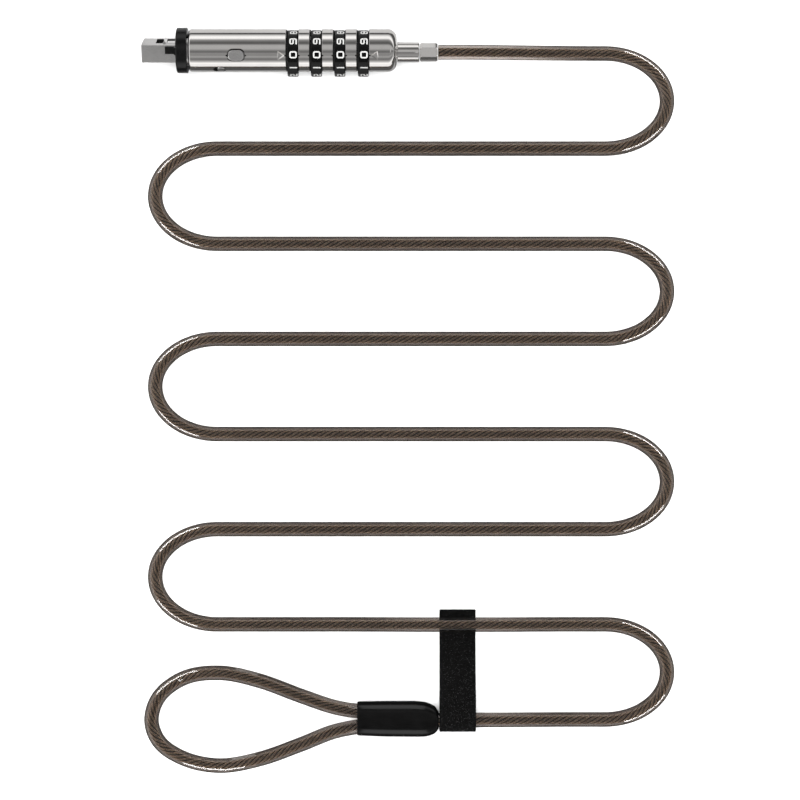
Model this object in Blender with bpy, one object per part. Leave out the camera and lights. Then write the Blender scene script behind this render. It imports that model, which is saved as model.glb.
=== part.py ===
"""Combination cable lock for a laptop.

World frame: +X runs from the nose to the cable along the lock head, +Z is up, z = 0 is the table that the
lock lies on, and the origin is under the middle of the head.  The head is rolled by ROLL about X, so its
own frame is used for its parts: x from just inside the bumper's front towards the cable, y to the latch
side, z to the reading line, where the button and the digits in use are.
"""
import math

import bmesh
import bpy
from mathutils import Matrix

MM = 0.001
GAP = 0.3 * MM  # between pieces that touch on the real lock
RUN = 0.15 * MM  # round a pin or a sleeve that turns or slides

# Lock head.
ROLL = math.radians(22.5)  # from straight up to the reading line
BARREL_R = 8.36 * MM
BARREL_BORE_R = 6.5 * MM
BARREL_START = 4.5 * MM
BARREL_END = 86.5 * MM
FRONT_EDGE_R = 1.0 * MM
REAR_EDGE_R = 3.4 * MM
CORE_OFFSET = 1.25 * MM  # the dials' axis lies this far from the barrel's, away from the latch
SWIVEL_OFFSET = 0.75 * MM  # and the cable's axis this far

NOSE_LENGTH = 14.0 * MM
NOSE_Y = 7.1 * MM
NOSE_Z = 11.5 * MM
NOSE_EDGE = 0.4 * MM
SHANK_R = 6.2 * MM
SHANK_END = 13.0 * MM
CHANNEL_Z = (-4.2 * MM, 2.7 * MM)
CHANNEL_FLOOR = -0.6 * MM
CHANNEL_FRONT = -8.45 * MM
LATCH_AXIS = (2.2 * MM, 1.9 * MM)  # x and y of the latch pin
PIN_R = 0.75 * MM

BUMPER_R = 8.92 * MM
BUMPER_BORE_R = 6.6 * MM
BUMPER_X = (-0.4 * MM, 3.9 * MM)
BUMPER_EDGE_R = 0.6 * MM

DIAL_COUNT = 4
DIAL_FACETS = 10
DIAL_CORNER_R = 9.15 * MM
DIAL_LEAN = math.radians(11)  # turns the facet in use so that its middle is under the arrows
DIAL_WIDTH = 4.3 * MM
DIAL_CHAMFER = 0.4 * MM
DIAL_PITCH = 9.28 * MM
FIRST_DIAL = 45.5 * MM
DIAL_BORE_R = 7.2 * MM
NOTCH_R = 7.9 * MM
RING_R = 6.9 * MM
RING_BORE_R = 4.9 * MM
GATE_R = 6.3 * MM
TUBE_R = 4.6 * MM
TUBE_BORE_R = 3.3 * MM
TUBE_START = 35.0 * MM
TUBE_END = 79.0 * MM
FIN_R = 5.9 * MM
FIN_WIDTH = 1.8 * MM
FIN_LENGTH = 1.5 * MM
FIN_BEFORE_DIAL = 6.4 * MM  # from a dial's middle back to its fin's front

ARROW_INNER_R = 0.965 * MM  # of the circle that fits in the arrows' triangle

BUTTON_X = 23.4 * MM
BUTTON_SIZE = (6.2 * MM, 4.2 * MM)
BUTTON_CORNER = 1.75 * MM
BUTTON_TOP = 8.45 * MM

RESET_X = 17.25 * MM
RESET_ANGLE = math.radians(51)  # from the reading line, away from the latch
RESET_HEAD_R = 1.6 * MM
RESET_SEAT_R = 1.9 * MM
RESET_SEAT_RUN = 1.25 * MM  # the seat's round end is carried this far towards the nose

COLLAR_R = 3.9 * MM
COLLAR_X = (BARREL_END + GAP, 95.5 * MM)
HEX_CORNER_R = 3.66 * MM
HEX_X = (95.8 * MM, 102.7 * MM)
HEX_ROLL = math.radians(8.4)

HEAD_X = -44.35 * MM  # where the head's own x is 0, which centres the head on the origin
HEAD_Y = 0.64 * MM  # the barrel's axis
# The head stands on the dials' corners, half a facet from the facet opposite the one in use.
CORNER_LEAN = ROLL - DIAL_LEAN - math.pi / DIAL_FACETS
HEAD_Z = DIAL_CORNER_R * math.cos(CORNER_LEAN) + CORE_OFFSET * math.sin(ROLL)

# Cable: eight rows joined by half ellipses, then the loop.
CABLE_R = 2.9 * MM
ROW_COUNT = 8
ROW_PITCH = 37.94 * MM
ROW_1_Y = 0.4 * MM
ROW_X = (-29.4 * MM, 125.3 * MM)  # where the straight rows turn into bends
BEND_REACH = 24.7 * MM
LIFTED_Z = 4.2 * MM  # the cable's centre where it lies on the strap, and in the sleeve

STRAP_X = (59.25 * MM, 73.75 * MM)
STRAP_THICKNESS = 1.0 * MM
STRAP_SLACK = 0.25 * MM  # how much wider than the cable its fold is, either way
LEG_Y = (-267.5 * MM, -261.6 * MM)  # the loop's two legs inside the sleeve
CRIMP_X = (29.4 * MM, 40.6 * MM)
CRIMP_R = 3.4 * MM

# Along the sleeve, in millimetres: x, the middles of its lower and upper sides in y, and their radius.
SLEEVE = [(26.5, -267.4, -261.75, 3.7), (26.9, -267.4, -261.75, 3.9), (28, -267.4, -261.8, 4.0),
          (38, -267.64, -261.76, 4.11), (49, -267.74, -261.74, 4.11), (52.8, -267.7, -262.06, 4.1),
          (54.9, -267.49, -262.47, 4.0), (56.6, -267.05, -263.1, 3.85), (57.7, -266.5, -263.7, 3.7),
          (58.5, -265.7, -264.8, 3.5), (58.9, -265.3, -265.1, 3.3)]
# The cable from the sleeve's far end back through it, round the loop, and into it again, in millimetres.
LOOP = [(51, -266.2, 4.2), (42, -267.5, 4.2), (29.2, -267.5, 4.2), (26.5, -267.9, 4.2), (17, -269.9, 4.0),
        (3.7, -275.2, 3.3), (-12.3, -280.9, 2.9), (-28, -283.6, 2.9), (-42, -281.0, 2.9), (-52.3, -274.3, 2.9),
        (-55.6, -265.4, 2.9), (-52.3, -255.7, 2.9), (-42, -248.4, 2.9), (-28, -246.6, 2.9), (-12.3, -249.8, 2.9),
        (3.7, -255.6, 3.3), (17, -260.0, 4.0), (26.5, -261.6, 4.2), (42, -261.6, 4.2)]

ROUND_SIDES = 48  # of the barrel and the bumper


# ---------------------------------------------------------------- tools


def material(name, colour, roughness, metallic):
    """A named Principled material."""
    found = bpy.data.materials.get(name)
    if found:
        return found
    made = bpy.data.materials.new(name)
    made.use_nodes = True
    shader = made.node_tree.nodes["Principled BSDF"]
    shader.inputs["Base Color"].default_value = (*colour, 1)
    shader.inputs["Roughness"].default_value = roughness
    shader.inputs["Metallic"].default_value = metallic
    made.diffuse_color = (*colour, 1)
    return made


def empty(name, parent=None, location=(0, 0, 0), rotation=(0, 0, 0)):
    """An empty that carries pieces."""
    made = bpy.data.objects.new(name, None)
    bpy.context.collection.objects.link(made)
    made.parent = parent
    made.location = location
    made.rotation_euler = rotation
    return made


def piece(name, bm, parent, look, location=(0, 0, 0), rotation=(0, 0, 0)):
    """An object of its own from a bmesh."""
    bmesh.ops.recalc_face_normals(bm, faces=bm.faces)
    mesh = bpy.data.meshes.new(name)
    bm.to_mesh(mesh)
    bm.free()
    mesh.shade_smooth()
    mesh.set_sharp_from_angle(angle=math.radians(30))
    if look:
        mesh.materials.append(material(name + "_look", *look))
    made = bpy.data.objects.new(name, mesh)
    bpy.context.collection.objects.link(made)
    made.parent = parent
    made.location = location
    made.rotation_euler = rotation
    return made


def combine(target, bm, operation, rotation=(0, 0, 0), location=(0, 0, 0)):
    """Cut a shape out of target, or join it on. The shape is given in the frame of target's parent."""
    tool = piece(f"{target.name}_tool_{len(target.modifiers)}", bm, target.parent, None, location, rotation)
    tool.hide_render = True
    tool.display_type = "WIRE"
    modifier = target.modifiers.new(operation.lower(), "BOOLEAN")
    modifier.operation = operation
    modifier.solver = "EXACT"
    modifier.object = tool


def cut(target, bm, **place):
    combine(target, bm, "DIFFERENCE", **place)


def join(target, bm, **place):
    combine(target, bm, "UNION", **place)


def loft(rings, hollow=False):
    """A solid skinned over rings of points, capped at both ends; a hollow one closes on its first ring."""
    bm = bmesh.new()
    rings = [[bm.verts.new(point) for point in ring] for ring in rings]
    pairs = list(zip(rings, rings[1:]))
    if hollow:
        pairs.append((rings[-1], rings[0]))
    else:
        bm.faces.new(rings[0])
        bm.faces.new(rings[-1])
    for near, far in pairs:
        for k in range(len(near)):
            after = (k + 1) % len(near)
            bm.faces.new((near[k], near[after], far[after], far[k]))
    return bm


def prism(outline, plane, low, high):
    """An outline in plane "XY", "XZ" or "YZ", pushed along the third axis from low to high."""
    first, second = ("XYZ".index(letter) for letter in plane)
    rings = []
    for level in (low, high):
        ring = []
        for a, b in outline:
            corner = [level, level, level]
            corner[first], corner[second] = a, b
            ring.append(corner)
        rings.append(ring)
    return loft(rings)


def box(x, y, z):
    """A box between pairs of coordinates."""
    outline = [(x[0], y[0]), (x[1], y[0]), (x[1], y[1]), (x[0], y[1])]
    return prism(outline, "XY", *z)


def turned(profile, segments=48, hollow=False, centre=(0.0, 0.0)):
    """A profile of (x, radius) points turned about an axis along X; a hollow one is a closed loop."""
    rings = [[(x, y, z) for y, z in circle(radius, segments, centre)] for x, radius in profile]
    return loft(rings, hollow)


def round_bar(radius, x, segments=32, centre=(0.0, 0.0)):
    """A plain cylinder along X."""
    return turned([(x[0], radius), (x[1], radius)], segments, centre=centre)


def circle(radius, count=32, centre=(0.0, 0.0)):
    """An outline round a centre."""
    angles = [2 * math.pi * k / count for k in range(count)]
    return [(centre[0] + radius * math.cos(a), centre[1] + radius * math.sin(a)) for a in angles]


def rounded_box(size, corner, centre=(0.0, 0.0), steps=5):
    """The outline of a rectangle with round corners."""
    outline = []
    for turn, (sx, sy) in enumerate(((1, 1), (-1, 1), (-1, -1), (1, -1))):
        for k in range(steps + 1):
            angle = (turn + k / steps) * math.pi / 2
            a = centre[0] + sx * (size[0] / 2 - corner) + corner * math.cos(angle)
            b = centre[1] + sy * (size[1] / 2 - corner) + corner * math.sin(angle)
            outline.append((a, b))
    return outline


def corner_arc(centre, radius, start, end, steps=4):
    """Points of an arc in a profile, angles in degrees."""
    angles = [math.radians(start + (end - start) * k / steps) for k in range(steps + 1)]
    return [(centre[0] + radius * math.cos(a), centre[1] + radius * math.sin(a)) for a in angles]


def wire(name, points, radius, sides_setting, parent, look, location=(0, 0, 0)):
    """A round wire or cable through points."""
    curve = bpy.data.curves.new(name, "CURVE")
    curve.dimensions = "3D"
    curve.bevel_depth = radius
    curve.bevel_resolution = sides_setting
    curve.use_fill_caps = True
    spline = curve.splines.new("POLY")
    spline.points.add(len(points) - 1)
    for slot, point in zip(spline.points, points):
        slot.co = (*point, 1)
    curve.materials.append(material(name + "_look", *look))
    made = bpy.data.objects.new(name, curve)
    bpy.context.collection.objects.link(made)
    made.parent = parent
    made.location = location
    return made


def coil(axis, start, end, radius, turns, centre=(0.0, 0.0), steps=10):
    """Points of a spring's wire along X, Y or Z; centre is given in the other two axes, in order."""
    third = "XYZ".index(axis)
    first, second = (k for k in range(3) if k != third)
    points = []
    for k in range(turns * steps + 1):
        angle = 2 * math.pi * k / steps
        point = [0.0, 0.0, 0.0]
        point[first] = centre[0] + radius * math.cos(angle)
        point[second] = centre[1] + radius * math.sin(angle)
        point[third] = start + (end - start) * k / (turns * steps)
        points.append(point)
    return points


NICKEL = ((0.62, 0.60, 0.58), 0.18, 1.0)
SATIN = ((0.45, 0.45, 0.44), 0.4, 1.0)
STEEL = ((0.5, 0.5, 0.5), 0.35, 1.0)
BRASS = ((0.7, 0.5, 0.2), 0.3, 1.0)
ZINC = ((0.55, 0.55, 0.56), 0.45, 1.0)
RUBBER = ((0.02, 0.02, 0.02), 0.6, 0.0)
BLACK = ((0.015, 0.015, 0.015), 0.25, 0.0)
CLOTH = ((0.02, 0.02, 0.022), 0.95, 0.0)
VINYL = ((0.09, 0.07, 0.06), 0.25, 0.0)


# ---------------------------------------------------------------- nose and latch


def nose_block(head):
    """The square nose that enters the security socket, its shank, and the latch's channel through both."""
    rear = BUMPER_X[0] - GAP
    bm = box((-NOSE_LENGTH, rear), (-NOSE_Y / 2, NOSE_Y / 2), (-NOSE_Z / 2, NOSE_Z / 2))
    rounded = [edge for edge in bm.edges if min(v.co.x for v in edge.verts) < rear - GAP]
    bmesh.ops.bevel(bm, geom=rounded, offset=NOSE_EDGE, segments=3, profile=0.5, affect="EDGES")
    nose = piece("nose_block", bm, head, SATIN)
    spigot = 3.2 * MM
    shank = [(-2 * MM, spigot), (rear, spigot), (rear, SHANK_R), (SHANK_END, SHANK_R)]
    join(nose, turned(shank, 40))
    cut(nose, box((CHANNEL_FRONT, SHANK_END + MM), (CHANNEL_FLOOR, 8 * MM), CHANNEL_Z))
    cut(nose, prism(circle(PIN_R + RUN, 16, LATCH_AXIS), "XY", -7 * MM, 7 * MM))
    spring_seat = circle(1.3 * MM, 16, (-5.2 * MM, -0.75 * MM))
    cut(nose, prism(spring_seat, "XZ", -2.4 * MM, 0))
    cut(nose, prism(circle(0.95 * MM, 16, (8 * MM, -3.6 * MM)), "XY", -7 * MM, -0.8 * MM))


def bumper_ring(head):
    """The black ring that bears on the laptop, and the tongue along the nose."""
    front, rear = BUMPER_X
    edge = BUMPER_EDGE_R
    profile = [(front, BUMPER_BORE_R)]
    profile += corner_arc((front + edge, BUMPER_R - edge), edge, 180, 90, 3)
    profile += corner_arc((rear - 0.3 * MM, BUMPER_R - 0.3 * MM), 0.3 * MM, 90, 0, 2)
    profile += [(rear, BUMPER_BORE_R)]
    ring = piece("bumper_ring", turned(profile, ROUND_SIDES, hollow=True), head, RUBBER)
    tongue = [(-4.6, 5.98), (-4.6, 6.3), (-4.4, 6.45), (-0.9, 6.5), (-0.9, 8.1), (0.1, 8.1), (0.1, 6.75),
              (-0.8, 6.6), (-0.8, 5.98)]
    tongue = [(x * MM, z * MM) for x, z in tongue]
    join(ring, prism(tongue, "XZ", 0.15 * MM, 3.0 * MM))


def latch_arm(latch_axis):
    """A lever on the latch pin: the tooth in front, and the tail that the push rod lifts."""
    px, py = LATCH_AXIS
    bar = [(-6.0, 1.4), (4.2, 1.4), (4.2, 3.2), (-6.0, 3.2)]
    bar = [(x * MM - px, y * MM - py) for x, y in bar]
    arm = piece("latch_arm", prism(bar, "XY", -2.6 * MM, 1.5 * MM), latch_axis, SATIN)
    tooth = [(-6.1, 1.45), (-4.1, 1.45), (-4.1, 3.2), (-5.1, 4.5), (-6.1, 3.2)]
    tooth = [(x * MM - px, y * MM - py) for x, y in tooth]
    join(arm, prism(tooth, "XY", -3.9 * MM, 2.4 * MM))
    tail = [(3.9, 1.4), (10.9, 1.4), (12.0, 2.5), (12.0, 3.2), (3.9, 3.2)]
    tail = [(x * MM - px, y * MM - py) for x, y in tail]
    join(arm, prism(tail, "XY", -2.2 * MM, 2.2 * MM))
    join(arm, prism(circle(1.7 * MM, 20), "XY", -3.89 * MM, 2.39 * MM))
    cut(arm, prism(circle(PIN_R + RUN, 16), "XY", -5 * MM, 5 * MM))


def latch_parts(head):
    latch_axis = empty("latch_axis", head, (*LATCH_AXIS, 0))
    latch_arm(latch_axis)
    piece("latch_pin", prism(circle(PIN_R, 16), "XY", -5.4 * MM, 5.2 * MM), latch_axis, STEEL)
    points = coil("Y", -2.1 * MM, 1.1 * MM, 0.8 * MM, 4, (-5.2 * MM, -0.75 * MM), steps=8)
    wire("latch_spring", points, 0.15 * MM, 0, head, STEEL)
    pin = prism(circle(0.75 * MM, 16, (8 * MM, -3.6 * MM)), "XY", -7.3 * MM, -1.1 * MM)
    piece("nose_pin", pin, head, STEEL)


def push_rod(head):
    """The bar that carries the button's push forward, with a ramp at each end."""
    side = [(9.72, -0.2), (22.9, -0.2), (22.9, 1.0), (14.2, 1.0), (14.2, 3.0), (12.92, 3.0)]
    rod = piece("push_rod", prism([(x * MM, y * MM) for x, y in side], "XY", -1.6 * MM, 0.9 * MM), head, BRASS)
    ramp = [(22.88, -2.5), (22.88, -0.5), (20.88, 1.5), (26, 1.5), (26, -2.5)]
    cut(rod, prism([(x * MM, z * MM) for x, z in ramp], "XZ", -1 * MM, 4 * MM))


# ---------------------------------------------------------------- barrel


def dial_x(k):
    return FIRST_DIAL + k * DIAL_PITCH


def slot_half():
    return DIAL_WIDTH / 2 + GAP


def keyway(x):
    """The way for the spindle's fins, beside the hole for the core tube."""
    return box(x, (-CORE_OFFSET - 1.3 * MM, -CORE_OFFSET + 1.3 * MM), (0, GATE_R + 0.2 * MM))


def index_notch(x):
    """The small mark on the reading line at the edge of a dial's slot."""
    return box((x - 0.5 * MM, x + 0.5 * MM), (-0.4 * MM, 0.4 * MM), (BARREL_R - 0.6 * MM, 9 * MM))


def arrow(apex, direction):
    """The engraved triangle that points at the dials, its walls sloping at 45 degrees."""
    middle = apex - direction * (2.6 * MM - ARROW_INNER_R)
    rings = []
    for depth in (-0.45 * MM, 0.25 * MM):
        spread = 1 + depth / ARROW_INNER_R
        rings.append([(middle + direction * spread * (x * MM - ARROW_INNER_R), spread * y * MM, BARREL_R + depth)
                      for x, y in ((2.6, 0.12), (0, 1.9), (0, -1.9), (2.6, -0.12))])
    return loft(rings)


def front_barrel(head):
    end = dial_x(0) - slot_half()
    wall = end - 4.8 * MM
    profile = [(BARREL_START, BARREL_BORE_R)]
    profile += corner_arc((BARREL_START + FRONT_EDGE_R, BARREL_R - FRONT_EDGE_R), FRONT_EDGE_R, 180, 90, 3)
    profile += [(end, BARREL_R), (end, 3 * MM), (wall, 3 * MM), (wall, BARREL_BORE_R)]
    barrel = piece("front_barrel", turned(profile, ROUND_SIDES, hollow=True), head, NICKEL)
    hole = round_bar(TUBE_R + GAP, (wall - MM, end + MM), 32, centre=(-CORE_OFFSET, 0))
    cut(barrel, hole)
    cut(barrel, keyway((wall - MM, end + MM)))
    size = [side + 2 * GAP for side in BUTTON_SIZE]
    cut(barrel, prism(rounded_box(size, BUTTON_CORNER + GAP, (BUTTON_X, 0)), "XY", 4 * MM, 10 * MM))
    mark = BUTTON_SIZE[0] / 2 + 0.9 * MM
    corners = [(BUTTON_X - mark, 0), (BUTTON_X, -0.5 * MM), (BUTTON_X + mark, 0), (BUTTON_X, 0.5 * MM)]
    cut(barrel, prism(corners, "XY", BARREL_R - 0.5 * MM, 10 * MM))
    tilt = (RESET_ANGLE, 0, 0)
    seat = corner_arc((0, 0), RESET_SEAT_R, -90, 90, 12)
    seat += corner_arc((-RESET_SEAT_RUN, 0), RESET_SEAT_R, 90, 270, 12)
    cut(barrel, prism(seat, "XY", 7.1 * MM, 9 * MM), rotation=tilt, location=(RESET_X, 0, 0))
    stem = prism(circle(1.6 * MM, 20), "XY", 5 * MM, 7.5 * MM)
    cut(barrel, stem, rotation=tilt, location=(RESET_X, 0, 0))
    cut(barrel, prism(circle(0.95 * MM, 16, (8 * MM, -3.6 * MM)), "XY", -9 * MM, -4 * MM))
    cut(barrel, index_notch(end))
    cut(barrel, arrow(42.4 * MM, 1))


def spacer_rings(head):
    for k in range(DIAL_COUNT - 1):
        start = dial_x(k) + slot_half()
        end = dial_x(k + 1) - slot_half()
        profile = [(start, 4 * MM), (start, BARREL_R), (end, BARREL_R), (end, 4 * MM)]
        ring = piece(f"spacer_ring_{k + 1}", turned(profile, ROUND_SIDES), head, NICKEL)
        cut(ring, round_bar(TUBE_R + GAP, (start - MM, end + MM), 32, centre=(-CORE_OFFSET, 0)))
        cut(ring, keyway((start - MM, end + MM)))
        cut(ring, index_notch(start))
        cut(ring, index_notch(end))


def rear_barrel(head):
    start = dial_x(DIAL_COUNT - 1) + slot_half()
    cavity_end = 82.4 * MM
    centre = (BARREL_END - REAR_EDGE_R, BARREL_R - REAR_EDGE_R)
    profile = [(start, BARREL_R)] + corner_arc(centre, REAR_EDGE_R, 90, 0, 5)
    barrel = piece("rear_barrel", turned(profile, ROUND_SIDES), head, NICKEL)
    cut(barrel, round_bar(TUBE_R + GAP, (start - MM, cavity_end), 32, centre=(-CORE_OFFSET, 0)))
    cut(barrel, round_bar(2.75 * MM, (cavity_end - MM, BARREL_END + MM), 32, centre=(-SWIVEL_OFFSET, 0)))
    cut(barrel, index_notch(start))
    cut(barrel, arrow(start + 0.7 * MM, -1))


def inner_frame(head):
    """The block inside the front barrel that guides the button, the push rod and the spindle."""
    frame = piece("inner_frame", round_bar(SHANK_R, (19.6 * MM, 33.5 * MM), 40), head, ZINC)
    cut(frame, box((18 * MM, 34 * MM), (-3.5 * MM, 1.7 * MM), (-2.8 * MM, 1.4 * MM)))
    cut(frame, box((18 * MM, 28.1 * MM), (-3.1 * MM, 3.1 * MM), (2.2 * MM, 8 * MM)))
    cut(frame, box((20.4 * MM, 26.4 * MM), (-1.95 * MM, 1.95 * MM), (0, 3 * MM)))


def release_button(head):
    """Pill-shaped cap, the flange that keeps it in, and the stem with its wedge."""
    def at(outline, low, high):
        return prism(outline, "XY", (low * MM) - BUTTON_TOP, (high * MM) - BUTTON_TOP)

    cap = at(rounded_box(BUTTON_SIZE, BUTTON_CORNER), 5.0, 8.45)
    top = [edge for edge in cap.edges if all(v.co.z > -0.1 * MM for v in edge.verts)]
    bmesh.ops.bevel(cap, geom=top, offset=0.25 * MM, segments=2, profile=0.5, affect="EDGES")
    place = (BUTTON_X, 0, BUTTON_TOP)
    button = piece("release_button", cap, head, SATIN, place)
    join(button, at(rounded_box((8.2 * MM, 5.4 * MM), 2 * MM), 4.6, 5.4), location=place)
    join(button, at(circle(1.7 * MM, 20), 1.8, 4.7), location=place)
    wedge = [(20.8, 2.0), (26.0, 2.0), (23.6, -0.4), (23.2, -0.4)]
    join(button, prism([(x * MM, z * MM) for x, z in wedge], "XZ", -1.2 * MM, 1.2 * MM))
    points = coil("Z", 2.45 * MM, 4.35 * MM, 2.35 * MM, 3, (BUTTON_X, 0), steps=12)
    wire("button_spring", points, 0.18 * MM, 0, head, STEEL)


def reset_screw(head):
    """The slotted screw that is turned to change the code; its own Z is the axis it turns about."""
    tilt = (RESET_ANGLE, 0, 0)
    place = (RESET_X, 0, 0)
    bm = prism(circle(RESET_HEAD_R, 24), "XY", 7.3 * MM, 8.3 * MM)
    screw = piece("reset_screw", bm, head, SATIN, place, tilt)
    join(screw, prism(circle(1.3 * MM, 20), "XY", 4.9 * MM, 7.4 * MM), rotation=tilt, location=place)
    join(screw, prism(circle(2.0 * MM, 20), "XY", 4.3 * MM, 5.1 * MM), rotation=tilt, location=place)
    slot = box((-3 * MM, 3 * MM), (-0.35 * MM, 0.35 * MM), (7.65 * MM, 9 * MM))
    cut(screw, slot, rotation=tilt, location=place)


# ---------------------------------------------------------------- dials and spindle


def dial(k, core):
    """A ten-sided wheel with a notched bore; a facet faces the reading line."""
    half = DIAL_WIDTH / 2
    edge = DIAL_CORNER_R - DIAL_CHAMFER
    profile = [(-half, edge), (-half + DIAL_CHAMFER, DIAL_CORNER_R),
               (half - DIAL_CHAMFER, DIAL_CORNER_R), (half, edge)]
    wheel = turned(profile, DIAL_FACETS)
    bmesh.ops.rotate(wheel, verts=wheel.verts, cent=(0, 0, 0), matrix=Matrix.Rotation(-DIAL_LEAN, 3, "X"))
    made = piece(f"dial_{k + 1}", wheel, core, BLACK, (dial_x(k), 0, 0))
    notch = math.asin(1.1 / 7.9)
    outline = []
    for sector in range(DIAL_FACETS):
        middle = math.pi / 2 + sector * 2 * math.pi / DIAL_FACETS
        for angle, radius in ((-notch, DIAL_BORE_R), (-notch, NOTCH_R), (notch, NOTCH_R), (notch, DIAL_BORE_R),
                              (math.pi / DIAL_FACETS, DIAL_BORE_R)):
            outline.append((radius * math.cos(middle + angle), radius * math.sin(middle + angle)))
    cut(made, prism(outline, "YZ", dial_x(k) - half - MM, dial_x(k) + half + MM))


def code_ring(k, core):
    """The ring inside a dial: a key into the dial's notch, and a gate that a fin can pass."""
    half = DIAL_WIDTH / 2
    profile = [(-half, RING_BORE_R), (-half, RING_R), (half, RING_R), (half, RING_BORE_R)]
    ring = piece(f"code_ring_{k + 1}", turned(profile, 40, hollow=True), core, BRASS, (dial_x(k), 0, 0))
    x = (dial_x(k) - half, dial_x(k) + half)
    join(ring, box(x, (-0.8 * MM, 0.8 * MM), (-7.6 * MM, -6.5 * MM)))
    cut(ring, box((x[0] - MM, x[1] + MM), (-1.2 * MM, 1.2 * MM), (0, GATE_R)))


def core_tube(core):
    profile = [(TUBE_START, TUBE_BORE_R), (TUBE_START, TUBE_R), (TUBE_END, TUBE_R), (TUBE_END, TUBE_BORE_R)]
    tube = piece("core_tube", turned(profile, 40, hollow=True), core, STEEL)
    cut(tube, box((38.2 * MM, 72.5 * MM), (-1.2 * MM, 1.2 * MM), (0, 6 * MM)))
    cut(tube, box((40.5 * MM, 78 * MM), (-1.2 * MM, 1.2 * MM), (-6 * MM, 0)))
    plug = round_bar(3.0 * MM, (77.6 * MM, TUBE_END), 32)
    piece("core_plug", plug, core, STEEL)


def click_spring(core):
    """A leaf in the core tube's lower slot, with a bump under each code ring."""
    upper, lower, bump = -3.95 * MM, -4.35 * MM, -4.72 * MM
    outline = [(41 * MM, upper), (77.5 * MM, upper), (77.5 * MM, lower)]
    for k in reversed(range(DIAL_COUNT)):
        for reach, level in ((1.2, lower), (0.4, bump), (-0.4, bump), (-1.2, lower)):
            outline.append((dial_x(k) + reach * MM, level))
    outline.append((41 * MM, lower))
    piece("click_spring", prism(outline, "XZ", -0.9 * MM, 0.9 * MM), core, STEEL)


def spindle(core):
    """The sliding rod: a ramp in front for the button's wedge, and a fin for each code ring."""
    profile = [(28.5 * MM, 1.1 * MM), (36.0 * MM, 1.1 * MM), (36.0 * MM, 3.0 * MM), (73.0 * MM, 3.0 * MM)]
    rod = piece("spindle", turned(profile, 32), core, BRASS)
    block = [(23.92, -2.4), (23.92, -0.5), (25.32, 0.9), (29, 0.9), (29, -2.4)]
    join(rod, prism([(x * MM, z * MM) for x, z in block], "XZ", -1.65 * MM, 1.65 * MM))
    for k in range(DIAL_COUNT):
        start = dial_x(k) - FIN_BEFORE_DIAL
        fin = box((start, start + FIN_LENGTH), (-FIN_WIDTH / 2, FIN_WIDTH / 2), (2 * MM, FIN_R))
        join(rod, fin)
    points = coil("X", 73.5 * MM, 77.3 * MM, 2.2 * MM, 4, steps=10)
    wire("spindle_spring", points, 0.2 * MM, 0, core, STEEL)


# ---------------------------------------------------------------- swivel


def swivel_parts(swivel):
    """The collar and its stem, the clip that keeps the stem in the barrel, and the cable's ferrule."""
    start, end = COLLAR_X
    profile = [(80.2 * MM, 2.6 * MM), (81.1 * MM, 2.6 * MM), (81.1 * MM, 2.0 * MM), (81.9 * MM, 2.0 * MM),
               (81.9 * MM, 2.6 * MM), (start, 2.6 * MM), (start, COLLAR_R - 0.3 * MM),
               (start + 0.3 * MM, COLLAR_R), (end - 0.3 * MM, COLLAR_R), (end, COLLAR_R - 0.3 * MM)]
    piece("swivel_stem", turned(profile, 28), swivel, NICKEL)
    profile = [(81.25 * MM, 2.15 * MM), (81.25 * MM, 4.0 * MM), (81.75 * MM, 4.0 * MM), (81.75 * MM, 2.15 * MM)]
    clip = piece("swivel_clip", turned(profile, 32, hollow=True), swivel, STEEL)
    cut(clip, box((81 * MM, 82 * MM), (-1.2 * MM, 1.2 * MM), (-5 * MM, 0)))
    start, end = HEX_X
    edge = HEX_CORNER_R - 0.4 * MM
    profile = [(start, edge), (start + 0.35 * MM, HEX_CORNER_R), (end - 0.35 * MM, HEX_CORNER_R), (end, edge)]
    piece("hex_ferrule", turned(profile, 6), swivel, NICKEL)


# ---------------------------------------------------------------- cable, loop and strap


def ease(start, end, x):
    """0 before start, 1 after end, with a smooth rise between."""
    t = min(max((x - start) / (end - start), 0), 1)
    return t * t * (3 - 2 * t)


def row_y(row):
    return ROW_1_Y - ROW_PITCH * (row - 1)


def row_z(row, x):
    """The cable's height: from the ferrule down to the table, and up over the strap."""
    swivel_z = HEAD_Z - SWIVEL_OFFSET * math.sin(ROLL)
    lift = LIFTED_Z - CABLE_R
    if row == 1:
        return swivel_z + (CABLE_R - swivel_z) * ease(64 * MM, 124 * MM, x)
    if row == ROW_COUNT - 1:
        before = ease(STRAP_X[0] - 38 * MM, STRAP_X[0] - 2 * MM, x)
        after = 1 - ease(STRAP_X[1] + 2 * MM, STRAP_X[1] + 38 * MM, x)
        return CABLE_R + lift * before * after
    if row == ROW_COUNT:
        return CABLE_R + lift * (1 - ease(STRAP_X[1] + 2 * MM, STRAP_X[1] + 38 * MM, x))
    return CABLE_R


def row_stations(row):
    """Where the cable has points along a row, in the order that it runs."""
    low, high = ROW_X
    if row == 1:
        swivel_y = HEAD_Y - SWIVEL_OFFSET * math.cos(ROLL)
        first = HEAD_X + HEX_X[1] + GAP
        stations = [first, 67 * MM, 79 * MM, 91 * MM, 103 * MM, 114 * MM, high]
        drift = [swivel_y + (ROW_1_Y - swivel_y) * ease(first, high, x) for x in stations]
        return list(zip(stations, drift))
    if row == ROW_COUNT:
        stations = [high, 109 * MM, 98 * MM, 87 * MM, 76 * MM, 60 * MM]
    elif row == ROW_COUNT - 1:
        stations = [low, 24 * MM, 35 * MM, 46 * MM, 57 * MM, 76 * MM, 87 * MM, 98 * MM, 109 * MM, high]
    else:
        stations = [low, high]
    if row % 2 == 0 and row < ROW_COUNT:
        stations.reverse()
    return [(x, row_y(row)) for x in stations]


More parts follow.
